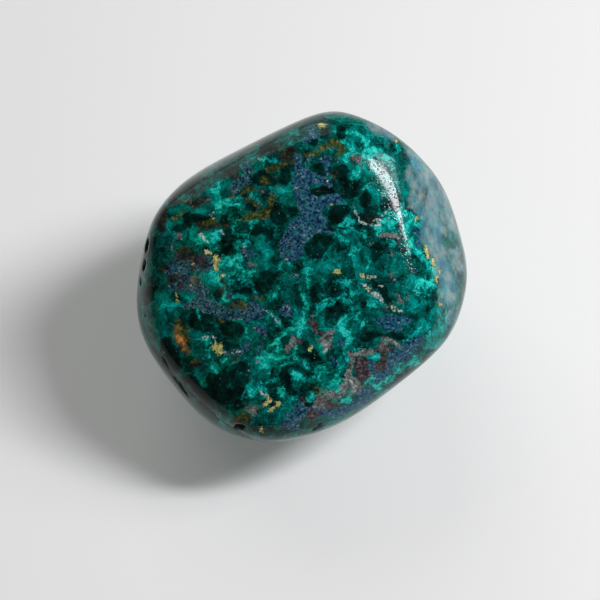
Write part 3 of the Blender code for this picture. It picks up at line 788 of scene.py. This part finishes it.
@dataclass(frozen=True)
class PolishedDioptase:
    """Dioptase and chrysocolla in their copper-bearing matrix, ground and polished by tumbling.

    The glassy crystals are so deep a green that they look black but for their teal edges, and the
    milky turquoise between them shows every fibre. The matrix is dotted like granite. Over all of
    it lies one wet-looking polish, broken only by grain-sized pits.

    Attributes:
        name: The material's name.
        ior: How strongly the polished silicates bend light.
        gloss: The strength of the reflections, low because the matrix takes a poorer polish.
        roughness: The roughness where the polish is best.
        worn_roughness: What the worn patches add to it.
        matrix_roughness: What the rock, the rust and the crust add to it.
        pit_roughness: The roughness in an open pit.
        pit_bottom_tone: The near-black colour that the surface in an open pit is darkened to, the
            more the deeper it lies.
        flow: The swirls that draw the veins and the crystals' clouds out.
        flow_reach_mm: How far they draw them out.
        facets: How much lighter or darker a large and a small crystal is than its neighbours.
        vein_width: How far from its middle a vein reaches, as a share of its cloud's range.
        crack_mm: Half the width of a hairline between crystals, drawn wide enough to show.
        crack_span: The crystals' tones between which the hairlines appear.
        dark_dimming: How much of their tone the dark crystals lose where they are opaque.
        moss_tone: The colour that the mossy crystals are multiplied by.
        moss_sides: How mossy the crystals are on the pebble's -X and +X sides.
        side_mm: How far from the middle the colours have turned to a side's own.
        fleck_tone: The colour of a single pale grain.
        fleck_share: The share of cells that hold such a grain.
        fleck_cover: How opaque it is at most.
        fleck_radii: Where it starts to fade and where it ends, in cell sizes.
        rock_shading: How strongly the rock's clouds shade its grains.
        rim_mm: The width of the thin seam round a mineral that has one.
        rim_cover: How opaque that seam is.
        plucked_radii: Where a plucked grain's hollow is deepest and where it ends, in cell sizes.
        plucked_depth_mm: How deep that hollow is.
    """

    name: str = "tumble_polished_dioptase"
    ior: float = 1.5
    gloss: float = 0.22
    roughness: float = 0.06
    worn_roughness: float = 0.05
    matrix_roughness: float = 0.06
    pit_roughness: float = 0.7
    pit_bottom_tone: str = "0a0704"
    flow: Cloud = Cloud(1.25, 5.0, 0.6)
    flow_reach_mm: float = 2.0
    facets: tuple[float, float] = (0.2, 0.1)
    vein_width: float = 0.045
    crack_mm: float = 0.05
    crack_span: tuple[float, float] = (0.354, 0.466)
    dark_dimming: float = 0.5
    moss_tone: str = "fffde2"
    moss_sides: tuple[float, float] = (1.0, 0.2)
    side_mm: float = 6.0
    fleck_tone: str = "80a8a4"
    fleck_share: float = 0.05
    fleck_cover: float = 0.7
    fleck_radii: tuple[float, float] = (0.1, 0.3)
    rock_shading: float = 0.85
    rim_mm: float = 0.06
    rim_cover: float = 0.7
    plucked_radii: tuple[float, float] = (0.1, 0.45)
    plucked_depth_mm: float = 0.007

    def build(self) -> bpy.types.Material:
        """Make the material.

        Returns:
            The finished material.
        """
        material = bpy.data.materials.new(self.name)
        material.use_nodes = True
        shader = material.node_tree.nodes["Principled BSDF"]
        skin = MineralSkin(self, material.node_tree)
        material.node_tree.links.new(skin.colour(), shader.inputs["Base Color"])
        skin.polish(shader)
        return material


class MineralSkin:
    """The layers of the pebble's finish, laid on one another in a node tree.

    Attributes:
        finish: The finish that it draws.
        tree: The material's node tree.
        mm: Place on the pebble in mm.
        side: 0 on the pebble's -X side, 1 on its +X side.
        pit: How deep in an open pit the surface is, from 0 to 1.
        clouds: The cloudy patterns, by name.
        cells: How far from the middle of its cell each place is, by the kind of cell.
        picks: Three random numbers of each cell's own, by the kind of cell.
        depths: How far inside each mineral's edge each place is, in mm.
        masks: How much each mineral covers, from 0 to 1.
    """

    def __init__(self, finish: PolishedDioptase, tree: bpy.types.NodeTree) -> None:
        """Lay out the patterns that the layers share.

        Args:
            finish: The finish.
            tree: The material's node tree.
        """
        self.finish = finish
        self.tree = tree
        place = self.add_node("TexCoord", take="Object")
        self.mm = self.add_node("VectorMath", {0: place, "Scale": 1.0 / MM}, operation="SCALE")
        drift = self.add_node(
            "TexNoise",
            {"Vector": self.mm, "Scale": 1.0 / finish.flow.size_mm, "Detail": finish.flow.detail,
             "Roughness": finish.flow.grit},
            "Color",
        )
        reach = (finish.flow_reach_mm,) * 3
        flow = self.add_node("VectorMath", (drift, reach, self.mm), operation="MULTIPLY_ADD")
        self.clouds: dict[str, Socket] = {}
        for name, cloud in CLOUDS.items():
            where = flow if cloud.flows else self.mm
            raw = self.add_node(
                "TexNoise",
                {"Vector": where, "Scale": 1.0 / cloud.size_mm, "Detail": cloud.detail,
                 "Roughness": cloud.grit},
            )
            self.clouds[name] = self.add_node("MapRange", (raw, *cloud.span, *cloud.onto))
        self.cells: dict[str, Socket] = {}
        self.picks: dict[str, bpy.types.bpy_prop_collection] = {}
        for name, size_mm in CELLS_MM.items():
            cell = self.add_node("TexVoronoi", {"Vector": self.mm, "Scale": 1.0 / size_mm})
            numbers = self.add_node("SeparateColor", (cell.node.outputs["Color"],))
            self.cells[name], self.picks[name] = cell, numbers.node.outputs
        across = self.add_node("SeparateXYZ", (self.mm,))
        self.side = self.add_node("MapRange", (across, -finish.side_mm, finish.side_mm))
        self.pit = self.add_node("Attribute", take="Fac", attribute_name="pit")
        self.depths = {mineral: self.grown_depth(mineral) for mineral in Mineral}
        self.masks = {mineral: self.mask(mineral) for mineral in Mineral}

    def add_node(
        self, kind: str, inputs: dict | tuple = (), take: str = "", **settings: object
    ) -> Socket:
        """Add a node with its settings, values and links.

        Args:
            kind: The node's type name, less its ShaderNode.
            inputs: A value or a socket to link for each input, in order or by name or number.
            take: The name of the output that is wanted, or nothing for the first in use.
            settings: The node's own properties, and a colour ramp's stops, place to hex colour.

        Returns:
            The output.
        """
        node = self.tree.nodes.new("ShaderNode" + kind)
        stops = settings.pop("stops", {})
        for name, value in settings.items():
            setattr(node, name, value)
        for number, (place, colour) in enumerate(stops.items()):
            ramp = node.color_ramp.elements
            stop = ramp[number] if number < 2 else ramp.new(place)
            stop.position = place
            stop.color = linear(colour)
        for key, value in inputs.items() if isinstance(inputs, dict) else enumerate(inputs):
            if isinstance(value, Socket):
                self.tree.links.new(value, node.inputs[key])
            else:
                node.inputs[key].default_value = value
        return node.outputs[take] if take else next(out for out in node.outputs if out.enabled)

    def grown_depth(self, mineral: Mineral) -> Socket:
        """Measure how far inside a mineral's ragged, grainy edge each place lies.

        Args:
            mineral: The mineral.

        Returns:
            The depth in mm, less than zero outside the edge.
        """
        growth = GROWTH[mineral]
        mapped = self.add_node("Attribute", take="Fac", attribute_name=mineral.value)
        ragged = self.add_node(
            "TexNoise",
            {"Vector": self.mm, "W": mineral.edge_seed, "Scale": 1.0 / growth.bay_mm,
             "Detail": EDGE_DETAIL, "Roughness": EDGE_GRIT},
            noise_dimensions="4D",
        )
        middle = (growth.spread_mm + growth.speck_mm) / 2.0
        depth = self.add_node("Math", (mapped, middle), operation="SUBTRACT")
        grain = self.picks["grain"]["Green"]
        for swell, reach in ((ragged, growth.spread_mm), (grain, growth.speck_mm)):
            depth = self.add_node("Math", (swell, reach, depth), operation="MULTIPLY_ADD")
        return depth

    def mask(self, mineral: Mineral, beyond_mm: float = 0.0) -> Socket:
        """Turn the depth inside a mineral into how much of it covers the surface.

        Args:
            mineral: The mineral.
            beyond_mm: How far beyond the edge the cover still reaches.

        Returns:
            The cover, from 0 to 1.
        """
        soft = GROWTH[mineral].soft_mm
        return self.add_node(
            "MapRange", (self.depths[mineral], -beyond_mm - soft, -beyond_mm + soft),
            interpolation_type="SMOOTHSTEP",
        )

    def mottle(self, mineral: Mineral) -> Socket:
        """Colour a mineral in fine clouds of its own tones.

        Args:
            mineral: The mineral.

        Returns:
            The colour.
        """
        growth = GROWTH[mineral]
        clouds = self.add_node(
            "TexNoise",
            {"Vector": self.mm, "W": mineral.tone_seed, "Scale": 1.0 / growth.cloud_mm,
             "Detail": TONE_DETAIL, "Roughness": growth.grit},
            noise_dimensions="4D",
        )
        return self.add_node("ValToRGB", (clouds,), stops=dict(zip(TONE_PLACES, growth.tones)))

    def colour(self) -> Socket:
        """Lay the minerals over the green crystals, and darken the open pits.

        Returns:
            The colour.
        """
        colour = self.glassy_body()
        for mineral in OVERLAID:
            upper = self.speckled_rock() if mineral is Mineral.BLUE else self.mottle(mineral)
            growth = GROWTH[mineral]
            layers = [(upper, self.masks[mineral], growth.cover)]
            if growth.rim:
                rim = self.mask(mineral, self.finish.rim_mm)
                layers.insert(0, (linear(growth.rim), rim, self.finish.rim_cover))
            for layer, mask, cover in layers:
                share = self.add_node("Math", (mask, cover), operation="MULTIPLY")
                colour = self.add_node(
                    "Mix", {0: share, COLOUR_A: colour, COLOUR_B: layer}, data_type="RGBA"
                )
        # The open pits are darkened to near black, the more the deeper the surface lies.
        deep_colour = linear(self.finish.pit_bottom_tone)
        return self.add_node(
            "Mix", {0: self.pit, COLOUR_A: colour, COLOUR_B: deep_colour}, data_type="RGBA"
        )

    def glassy_body(self) -> Socket:
        """Colour the green crystals: near black in their depths, teal where they are thin.

        Returns:
            The colour.
        """
        tone = self.clouds["depth"]
        # A crystal's own number is as often above the middle as below it.
        for name, share in zip(("crystal", "small_crystal"), self.finish.facets):
            facet = self.add_node("Math", (self.picks[name]["Blue"], 0.5), operation="SUBTRACT")
            tone = self.add_node("Math", (facet, share, tone), operation="MULTIPLY_ADD")
        gap = self.add_node("Math", (self.clouds["vein"],), operation="ABSOLUTE")
        veins = self.add_node("MapRange", (gap, 0.0, self.finish.vein_width, 1.0, 0.0))
        lace = self.masks[Mineral.LACE]
        # What brightens the crystals, by how much, and by how much more where the lace grows.
        for pattern, share, lace_share in (
            (veins, 0.12, 0.28),
            (self.masks[Mineral.TEAL], 0.14, 0.0),
            (lace, 0.11, 0.0),
            (self.clouds["crumb"], 0.0, 0.25),
            (self.cracks(), 0.2, 0.0),
            (self.clouds["dust"], 0.65, 0.5),
        ):
            lift = self.add_node("Math", (lace, lace_share, share), operation="MULTIPLY_ADD")
            tone = self.add_node("Math", (pattern, lift, tone), operation="MULTIPLY_ADD")
        dimming = -self.finish.dark_dimming * GROWTH[Mineral.DARK].cover
        kept = self.add_node(
            "Math", (self.masks[Mineral.DARK], dimming, 1.0), operation="MULTIPLY_ADD"
        )
        tone = self.add_node("Math", (tone, kept), operation="MULTIPLY")
        colour = self.add_node("ValToRGB", (tone,), stops=CRYSTAL_TONES)
        share = self.add_node("MapRange", (self.side, 0.0, 1.0, *self.finish.moss_sides))
        mossy = self.add_node("Math", (self.clouds["moss"], share), operation="MULTIPLY")
        colour = self.add_node(
            "Mix", {0: mossy, COLOUR_A: colour, COLOUR_B: linear(self.finish.moss_tone)},
            data_type="RGBA", blend_type="MULTIPLY",
        )
        return self.flecked(colour)

    def cracks(self) -> Socket:
        """Draw the pale hairlines where large crystals meet.

        Returns:
            1 in the middle of a hairline, 0 away from it.
        """
        size_mm = CELLS_MM["crystal"]
        edge = self.add_node(
            "TexVoronoi", {"Vector": self.mm, "Scale": 1.0 / size_mm}, feature="DISTANCE_TO_EDGE"
        )
        line = self.add_node("MapRange", (edge, 0.0, self.finish.crack_mm / size_mm, 1.0, 0.0))
        shown = self.add_node("MapRange", (self.clouds["depth"], *self.finish.crack_span))
        return self.add_node("Math", (line, shown), operation="MULTIPLY")

    def flecked(self, colour: Socket) -> Socket:
        """Scatter single pale grains through the crystals.

        Args:
            colour: The crystals' colour.

        Returns:
            The flecked colour.
        """
        finish = self.finish
        pick = self.picks["fleck"]["Red"]
        chosen = self.add_node("MapRange", (pick, 1.0 - finish.fleck_share, 1.0))
        dot = self.add_node(
            "MapRange", (self.cells["fleck"], *finish.fleck_radii, finish.fleck_cover, 0.0)
        )
        share = self.add_node("Math", (chosen, dot), operation="MULTIPLY")
        pale = linear(finish.fleck_tone)
        return self.add_node("Mix", {0: share, COLOUR_A: colour, COLOUR_B: pale}, data_type="RGBA")

    def speckled_rock(self) -> Socket:
        """Colour the blue-grey rock, grain by grain.

        Returns:
            The colour.
        """
        colour = self.add_node("ValToRGB", (self.picks["grain"]["Red"],), stops=GRAIN_TONES)
        colour.node.color_ramp.interpolation = "CONSTANT"
        for pattern, stops, share in (
            (self.clouds["rock"], ROCK_SHADES, self.finish.rock_shading),
            (self.side, SIDE_TINTS, 1.0),
        ):
            layer = self.add_node("ValToRGB", (pattern,), stops=stops)
            colour = self.add_node(
                "Mix", {0: share, COLOUR_A: colour, COLOUR_B: layer},
                data_type="RGBA", blend_type="MULTIPLY",
            )
        return colour

    def polish(self, shader: bpy.types.Node) -> None:
        """Give the pebble its gloss, and the plucked grains and pits that break it.

        Args:
            shader: The principled shader.
        """
        finish, worn = self.finish, self.clouds["wear"]
        shader.inputs["IOR"].default_value = finish.ior
        shader.inputs["Specular IOR Level"].default_value = finish.gloss
        rough = self.add_node(
            "Math", (worn, finish.worn_roughness, finish.roughness), operation="MULTIPLY_ADD"
        )
        for mineral in (Mineral.BLUE, Mineral.RUST, Mineral.CRUST):
            rough = self.add_node(
                "Math", (self.masks[mineral], finish.matrix_roughness, rough),
                operation="MULTIPLY_ADD",
            )
        rough = self.add_node("Mix", {0: self.pit, VALUE_A: rough, VALUE_B: finish.pit_roughness})
        pick = self.picks["plucked"]["Green"]
        whole = self.add_node("Math", (pick, worn), operation="GREATER_THAN")
        bowl = self.add_node("MapRange", (self.cells["plucked"], *finish.plucked_radii))
        height = self.add_node("Math", (bowl, whole), operation="MAXIMUM")
        depth = finish.plucked_depth_mm * MM
        bump = self.add_node("Bump", {"Strength": 1.0, "Distance": depth, "Height": height})
        self.tree.links.new(rough, shader.inputs["Roughness"])
        self.tree.links.new(bump, shader.inputs["Normal"])


@dataclass
class Pebble:
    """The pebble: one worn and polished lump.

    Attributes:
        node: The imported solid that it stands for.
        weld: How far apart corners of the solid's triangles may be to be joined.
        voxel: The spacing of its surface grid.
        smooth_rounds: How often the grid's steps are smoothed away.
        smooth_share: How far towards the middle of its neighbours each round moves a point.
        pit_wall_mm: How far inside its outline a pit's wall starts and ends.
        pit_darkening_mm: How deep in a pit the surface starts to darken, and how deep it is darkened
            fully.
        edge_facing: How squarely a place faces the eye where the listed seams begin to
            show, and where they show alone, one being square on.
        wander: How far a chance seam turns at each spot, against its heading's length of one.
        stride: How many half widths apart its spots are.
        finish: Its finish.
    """

    node: str = "stone"
    weld: float = 0.001 * MM
    voxel: float = 0.18 * MM
    smooth_rounds: int = 30
    smooth_share: float = 0.5
    pit_wall_mm: tuple[float, float] = (-0.12, 0.22)
    pit_darkening_mm: tuple[float, float] = (0.04, 0.2)
    edge_facing: tuple[float, float] = (0.10, 0.30)
    wander: float = 0.7
    stride: float = 2.0
    finish: PolishedDioptase = PolishedDioptase()

    def build(self) -> bpy.types.Object:
        """Model, map and dress the pebble.

        Returns:
            The finished piece.
        """
        pebble = self.copy_of_solid()
        self.refine(pebble)
        self.wear_pits(pebble)
        self.map_minerals(pebble)
        pebble.data.materials.clear()
        pebble.data.materials.append(self.finish.build())
        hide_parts(self.node)
        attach(pebble, "root")
        return pebble

    def copy_of_solid(self) -> bpy.types.Object:
        """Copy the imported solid, and join its loose triangles into one skin.

        Returns:
            The copy.
        """
        bpy.ops.object.select_all(action="DESELECT")
        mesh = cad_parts[self.node].data.copy()
        pebble = bpy.data.objects.new("pebble", mesh)
        bpy.context.scene.collection.objects.link(pebble)
        bpy.context.view_layer.objects.active = pebble
        pebble.select_set(True)
        bpy.ops.object.mode_set(mode="EDIT")
        bpy.ops.mesh.select_all(action="SELECT")
        bpy.ops.mesh.remove_doubles(threshold=self.weld)
        bpy.ops.mesh.normals_make_consistent(inside=False)
        bpy.ops.object.mode_set(mode="OBJECT")
        return pebble

    def refine(self, pebble: bpy.types.Object) -> None:
        """Remesh the skin into an even grid, and smooth away its steps.

        Args:
            pebble: The pebble.
        """
        remesh = pebble.modifiers.new("even_grid", "REMESH")
        remesh.mode = "VOXEL"
        remesh.voxel_size = self.voxel
        bpy.ops.object.modifier_apply(modifier=remesh.name)
        smooth = pebble.modifiers.new("polish", "SMOOTH")
        smooth.factor = self.smooth_share
        smooth.iterations = self.smooth_rounds
        bpy.ops.object.modifier_apply(modifier=smooth.name)
        bpy.ops.object.shade_smooth()

    def wear_pits(self, pebble: bpy.types.Object) -> None:
        """Sink the open pits into the surface, and note on its points how deep each lies.

        Args:
            pebble: The pebble.
        """
        points, normals = surface(pebble.data)
        seen = seen_square_on(points)
        facing = normals @ np.array(FACE_OUT)
        depth = np.zeros(len(points))
        for chain, deep_mm in PITS:
            spots = []
            for across, up, half_width in chain:
                gap = np.hypot(seen[:, 0] - across, seen[:, 1] - up)
                nearest = np.where(facing < 0.0, np.inf, gap).argmin()
                spots.append((*(points[nearest] / MM), half_width))
            inside = chain_depth(points / MM, spots)
            depth = np.maximum(depth, deep_mm * ease(inside, *self.pit_wall_mm))
        points = points - normals * (depth * MM)[:, None]
        pebble.data.vertices.foreach_set("co", points.ravel())
        store(pebble.data, "pit", ease(depth, *self.pit_darkening_mm))
        pebble.data.update()

    def map_minerals(self, pebble: bpy.types.Object) -> None:
        """Note on each point how far inside each mineral it lies, in mm.

        Args:
            pebble: The pebble.
        """
        points, normals = surface(pebble.data)
        facing = ease(normals @ np.array(FACE_OUT), *self.edge_facing)
        stray = np.stack([
            [
                noise.turbulence(Vector(point), STRAY_OCTAVES, False, noise_basis="PERLIN_ORIGINAL")
                for point in points / MM / STRAY_MM + np.array(apart)
            ]
            for apart in STRAY_APART
        ], axis=1)
        crystal = np.array([
            noise.voronoi(Vector(point))[1][0] for point in points / MM / CRYSTAL_MM
        ]) * CRYSTAL_MM * MM
        for mineral in Mineral:
            strayed = points + stray * GROWTH[mineral].stray_mm * MM
            places = [strayed, crystal] if mineral is Mineral.DARK else [strayed]
            mapped = np.zeros(len(points))
            for place in places:
                front = np.full(len(points), -OUTLINE_LIMIT_MM)
                seen = seen_square_on(place)
                for chain in SEAMS[mineral]:
                    front = np.maximum(front, chain_depth(seen, chain))
                hidden = self.hidden_seams(place / MM, mineral)
                mapped += (facing * front + (1.0 - facing) * hidden) / len(places)
            store(pebble.data, mineral.value, mapped)

    def hidden_seams(self, points: np.ndarray, mineral: Mineral) -> np.ndarray:
        """Run seams of the same kind over the sides that are turned away.

        Args:
            points: The surface points in mm.
            mineral: The mineral.

        Returns:
            How far inside the mineral each point lies, in mm.
        """
        chains, most_spots, narrow, wide = HIDDEN_SEAMS[mineral]
        draw = np.random.default_rng(mineral.draw_seed)
        depth = np.full(len(points), -OUTLINE_LIMIT_MM)
        for _ in range(chains):
            here = points[draw.integers(len(points))]
            heading = draw.normal(size=3)
            run = []
            for _ in range(draw.integers(1, most_spots + 1)):
                half_width = draw.uniform(narrow, wide)
                run.append((*here, half_width))
                heading = heading / np.linalg.norm(heading) + self.wander * draw.normal(size=3)
                step = here + heading / np.linalg.norm(heading) * half_width * self.stride
                here = points[np.square(points - step).sum(axis=1).argmin()]
            depth = np.maximum(depth, chain_depth(points, run))
        return depth


def surface(mesh: bpy.types.Mesh) -> tuple[np.ndarray, np.ndarray]:
    """Read a mesh's points and their normals.

    Args:
        mesh: The mesh.

    Returns:
        The places and the unit normals, one row a point.
    """
    points = np.empty(len(mesh.vertices) * 3)
    normals = np.empty(len(mesh.vertices) * 3)
    mesh.vertices.foreach_get("co", points)
    mesh.vertices.foreach_get("normal", normals)
    return points.reshape(-1, 3), normals.reshape(-1, 3)


def seen_square_on(points: np.ndarray) -> np.ndarray:
    """Place points on the broad face's own plane, as seen from square in front of it.

    Args:
        points: Places in metres.

    Returns:
        How far across and up from the core each is, in mm.
    """
    offset = points - np.array(EYE_AIM)
    nearer = EYE_REACH / (EYE_REACH - offset @ np.array(FACE_OUT))
    aim = np.array((FACE_ACROSS.dot(EYE_AIM - CORE), FACE_UP.dot(EYE_AIM - CORE)))
    across_up = np.stack((offset @ np.array(FACE_ACROSS), offset @ np.array(FACE_UP)), axis=1)
    return (across_up * nearer[:, None] + aim) / MM


def chain_depth(points: np.ndarray, chain: list | tuple) -> np.ndarray:
    """Measure how far inside a chain of spots each point lies.

    Args:
        points: The points, in the chain's own terms.
        chain: The chain's spots, each a place and a half width.

    Returns:
        The depth inside the chain, less than zero outside it.
    """
    spots = np.array(chain, dtype=float)
    centres, widths = spots[:, :-1], spots[:, -1]
    depth = widths[0] - np.sqrt(np.square(points - centres[0]).sum(axis=1))
    for start, end, wide, narrow in zip(centres, centres[1:], widths, widths[1:]):
        run = end - start
        along = np.clip((points - start) @ run / max(run.dot(run), SHORTEST), 0.0, 1.0)
        gap = np.sqrt(np.square(points - start - along[:, None] * run).sum(axis=1))
        depth = np.maximum(depth, wide + along * (narrow - wide) - gap)
    return depth


def ease(value: np.ndarray, low: float, high: float) -> np.ndarray:
    """Rise smoothly from 0 at low to 1 at high.

    Args:
        value: The numbers to ease.
        low: Where the rise starts.
        high: Where it ends.

    Returns:
        The eased numbers.
    """
    share = np.clip((value - low) / (high - low), 0.0, 1.0)
    return share * share * (3.0 - 2.0 * share)


def store(mesh: bpy.types.Mesh, name: str, values: np.ndarray) -> None:
    """Keep a number for each point of a mesh.

    Args:
        mesh: The mesh.
        name: The name to keep the numbers under.
        values: The numbers.
    """
    layer = mesh.attributes.new(name, "FLOAT", "POINT")
    layer.data.foreach_set("value", values.astype(np.float32))


@dataclass(frozen=True)
class LightTable:
    """Opal acrylic sheet lit a little from below, so that shadows on it stay pale and soft.

    Attributes:
        name: The material's name.
        tone: Its colour.
        roughness: Its roughness, that of a sanded sheet.
        gloss: The strength of its reflections.
        glow: How strongly it is lit from below.
    """

    name: str = "backlit_opal_acrylic"
    tone: str = "f4f4f2"
    roughness: float = 0.9
    gloss: float = 0.1
    glow: float = 0.14

    def build(self) -> bpy.types.Material:
        """Make the material.

        Returns:
            The finished material.
        """
        material = bpy.data.materials.new(self.name)
        material.use_nodes = True
        shader = material.node_tree.nodes["Principled BSDF"]
        shader.inputs["Base Color"].default_value = linear(self.tone)
        shader.inputs["Roughness"].default_value = self.roughness
        shader.inputs["Specular IOR Level"].default_value = self.gloss
        shader.inputs["Emission Color"].default_value = linear(self.tone)
        shader.inputs["Emission Strength"].default_value = self.glow
        return material


@dataclass(frozen=True)
class Softbox:
    """A panel of soft light that faces the pebble.

    Attributes:
        name: The light's name.
        heading_deg: Where it stands round the pebble, from +X towards +Y.
        height_deg: How high it stands above the level.
        reach: How far off it stands.
        width: Its width.
        height: Its height.
        watts: Its power.
        tone: Its colour.
    """

    name: str
    heading_deg: float
    height_deg: float
    reach: float
    width: float
    height: float
    watts: float
    tone: str = "ffffff"

    def place(self) -> None:
        """Add the light to the scene."""
        heading, height = math.radians(self.heading_deg), math.radians(self.height_deg)
        towards = Vector((
            math.cos(heading) * math.cos(height),
            math.sin(heading) * math.cos(height),
            math.sin(height),
        ))
        bpy.ops.object.light_add(type="AREA", location=CORE + towards * self.reach)
        light = bpy.context.object
        light.name = self.name
        light.rotation_euler = towards.to_track_quat("Z", "Y").to_euler()
        light.data.shape = "RECTANGLE"
        light.data.size = self.width
        light.data.size_y = self.height
        light.data.energy = self.watts
        light.data.color = linear(self.tone)[:3]


@dataclass
class Studio:
    """The pale floor, the soft lights and the camera.

    Attributes:
        floor_width: The width of the square floor.
        sensor_mm: The width of the camera's sensor.
        view_mm: The width that the camera takes in at the pebble.
        nearest: How close to the camera anything still shows.
        room_tone: The colour of the light that comes from all round.
        room_light: Its strength.
        lights: The soft lights.
    """

    floor_width: float = 1.2
    sensor_mm: float = 36.0
    view_mm: float = 51.0
    nearest: float = 0.01
    room_tone: str = "ffffff"
    room_light: float = 0.06
    lights: tuple[Softbox, ...] = (
        Softbox("window", 358.5, 52.0, 0.30, 0.038, 0.125, 0.61, "fbfaff"),
        Softbox("curtain", 12.0, 45.0, 0.30, 0.06, 0.12, 0.12),
        Softbox("sky", 115.0, 30.0, 0.60, 0.50, 0.62, 1.03),
    )

    def build(self) -> None:
        """Set up the floor, the lights and the camera."""
        bpy.ops.mesh.primitive_plane_add(size=self.floor_width)
        floor = bpy.context.object
        floor.name = "floor"
        floor.data.materials.append(LightTable().build())
        for light in self.lights:
            light.place()
        world = bpy.data.worlds.new("dim_room")
        world.use_nodes = True
        room = world.node_tree.nodes["Background"]
        room.inputs["Color"].default_value = linear(self.room_tone)
        room.inputs["Strength"].default_value = self.room_light
        bpy.context.scene.world = world
        bpy.ops.object.camera_add(location=EYE_AIM + EYE_REACH * FACE_OUT)
        camera = bpy.context.object
        camera.rotation_euler = FACE_OUT.to_track_quat("Z", "Y").to_euler()
        camera.data.sensor_width = self.sensor_mm
        camera.data.lens = self.sensor_mm * EYE_REACH / (self.view_mm * MM)
        camera.data.clip_start = self.nearest
        bpy.context.scene.camera = camera
        bpy.context.scene.view_settings.view_transform = "Standard"


def main() -> None:
    """Build the pebble and its studio, and report each piece."""
    logging.basicConfig(level=logging.INFO, format="%(message)s")
    pebble = Pebble().build()
    logging.info("%s: %d faces", pebble.name, len(pebble.data.polygons))
    Studio().build()


if __name__ == "__main__":
    main()
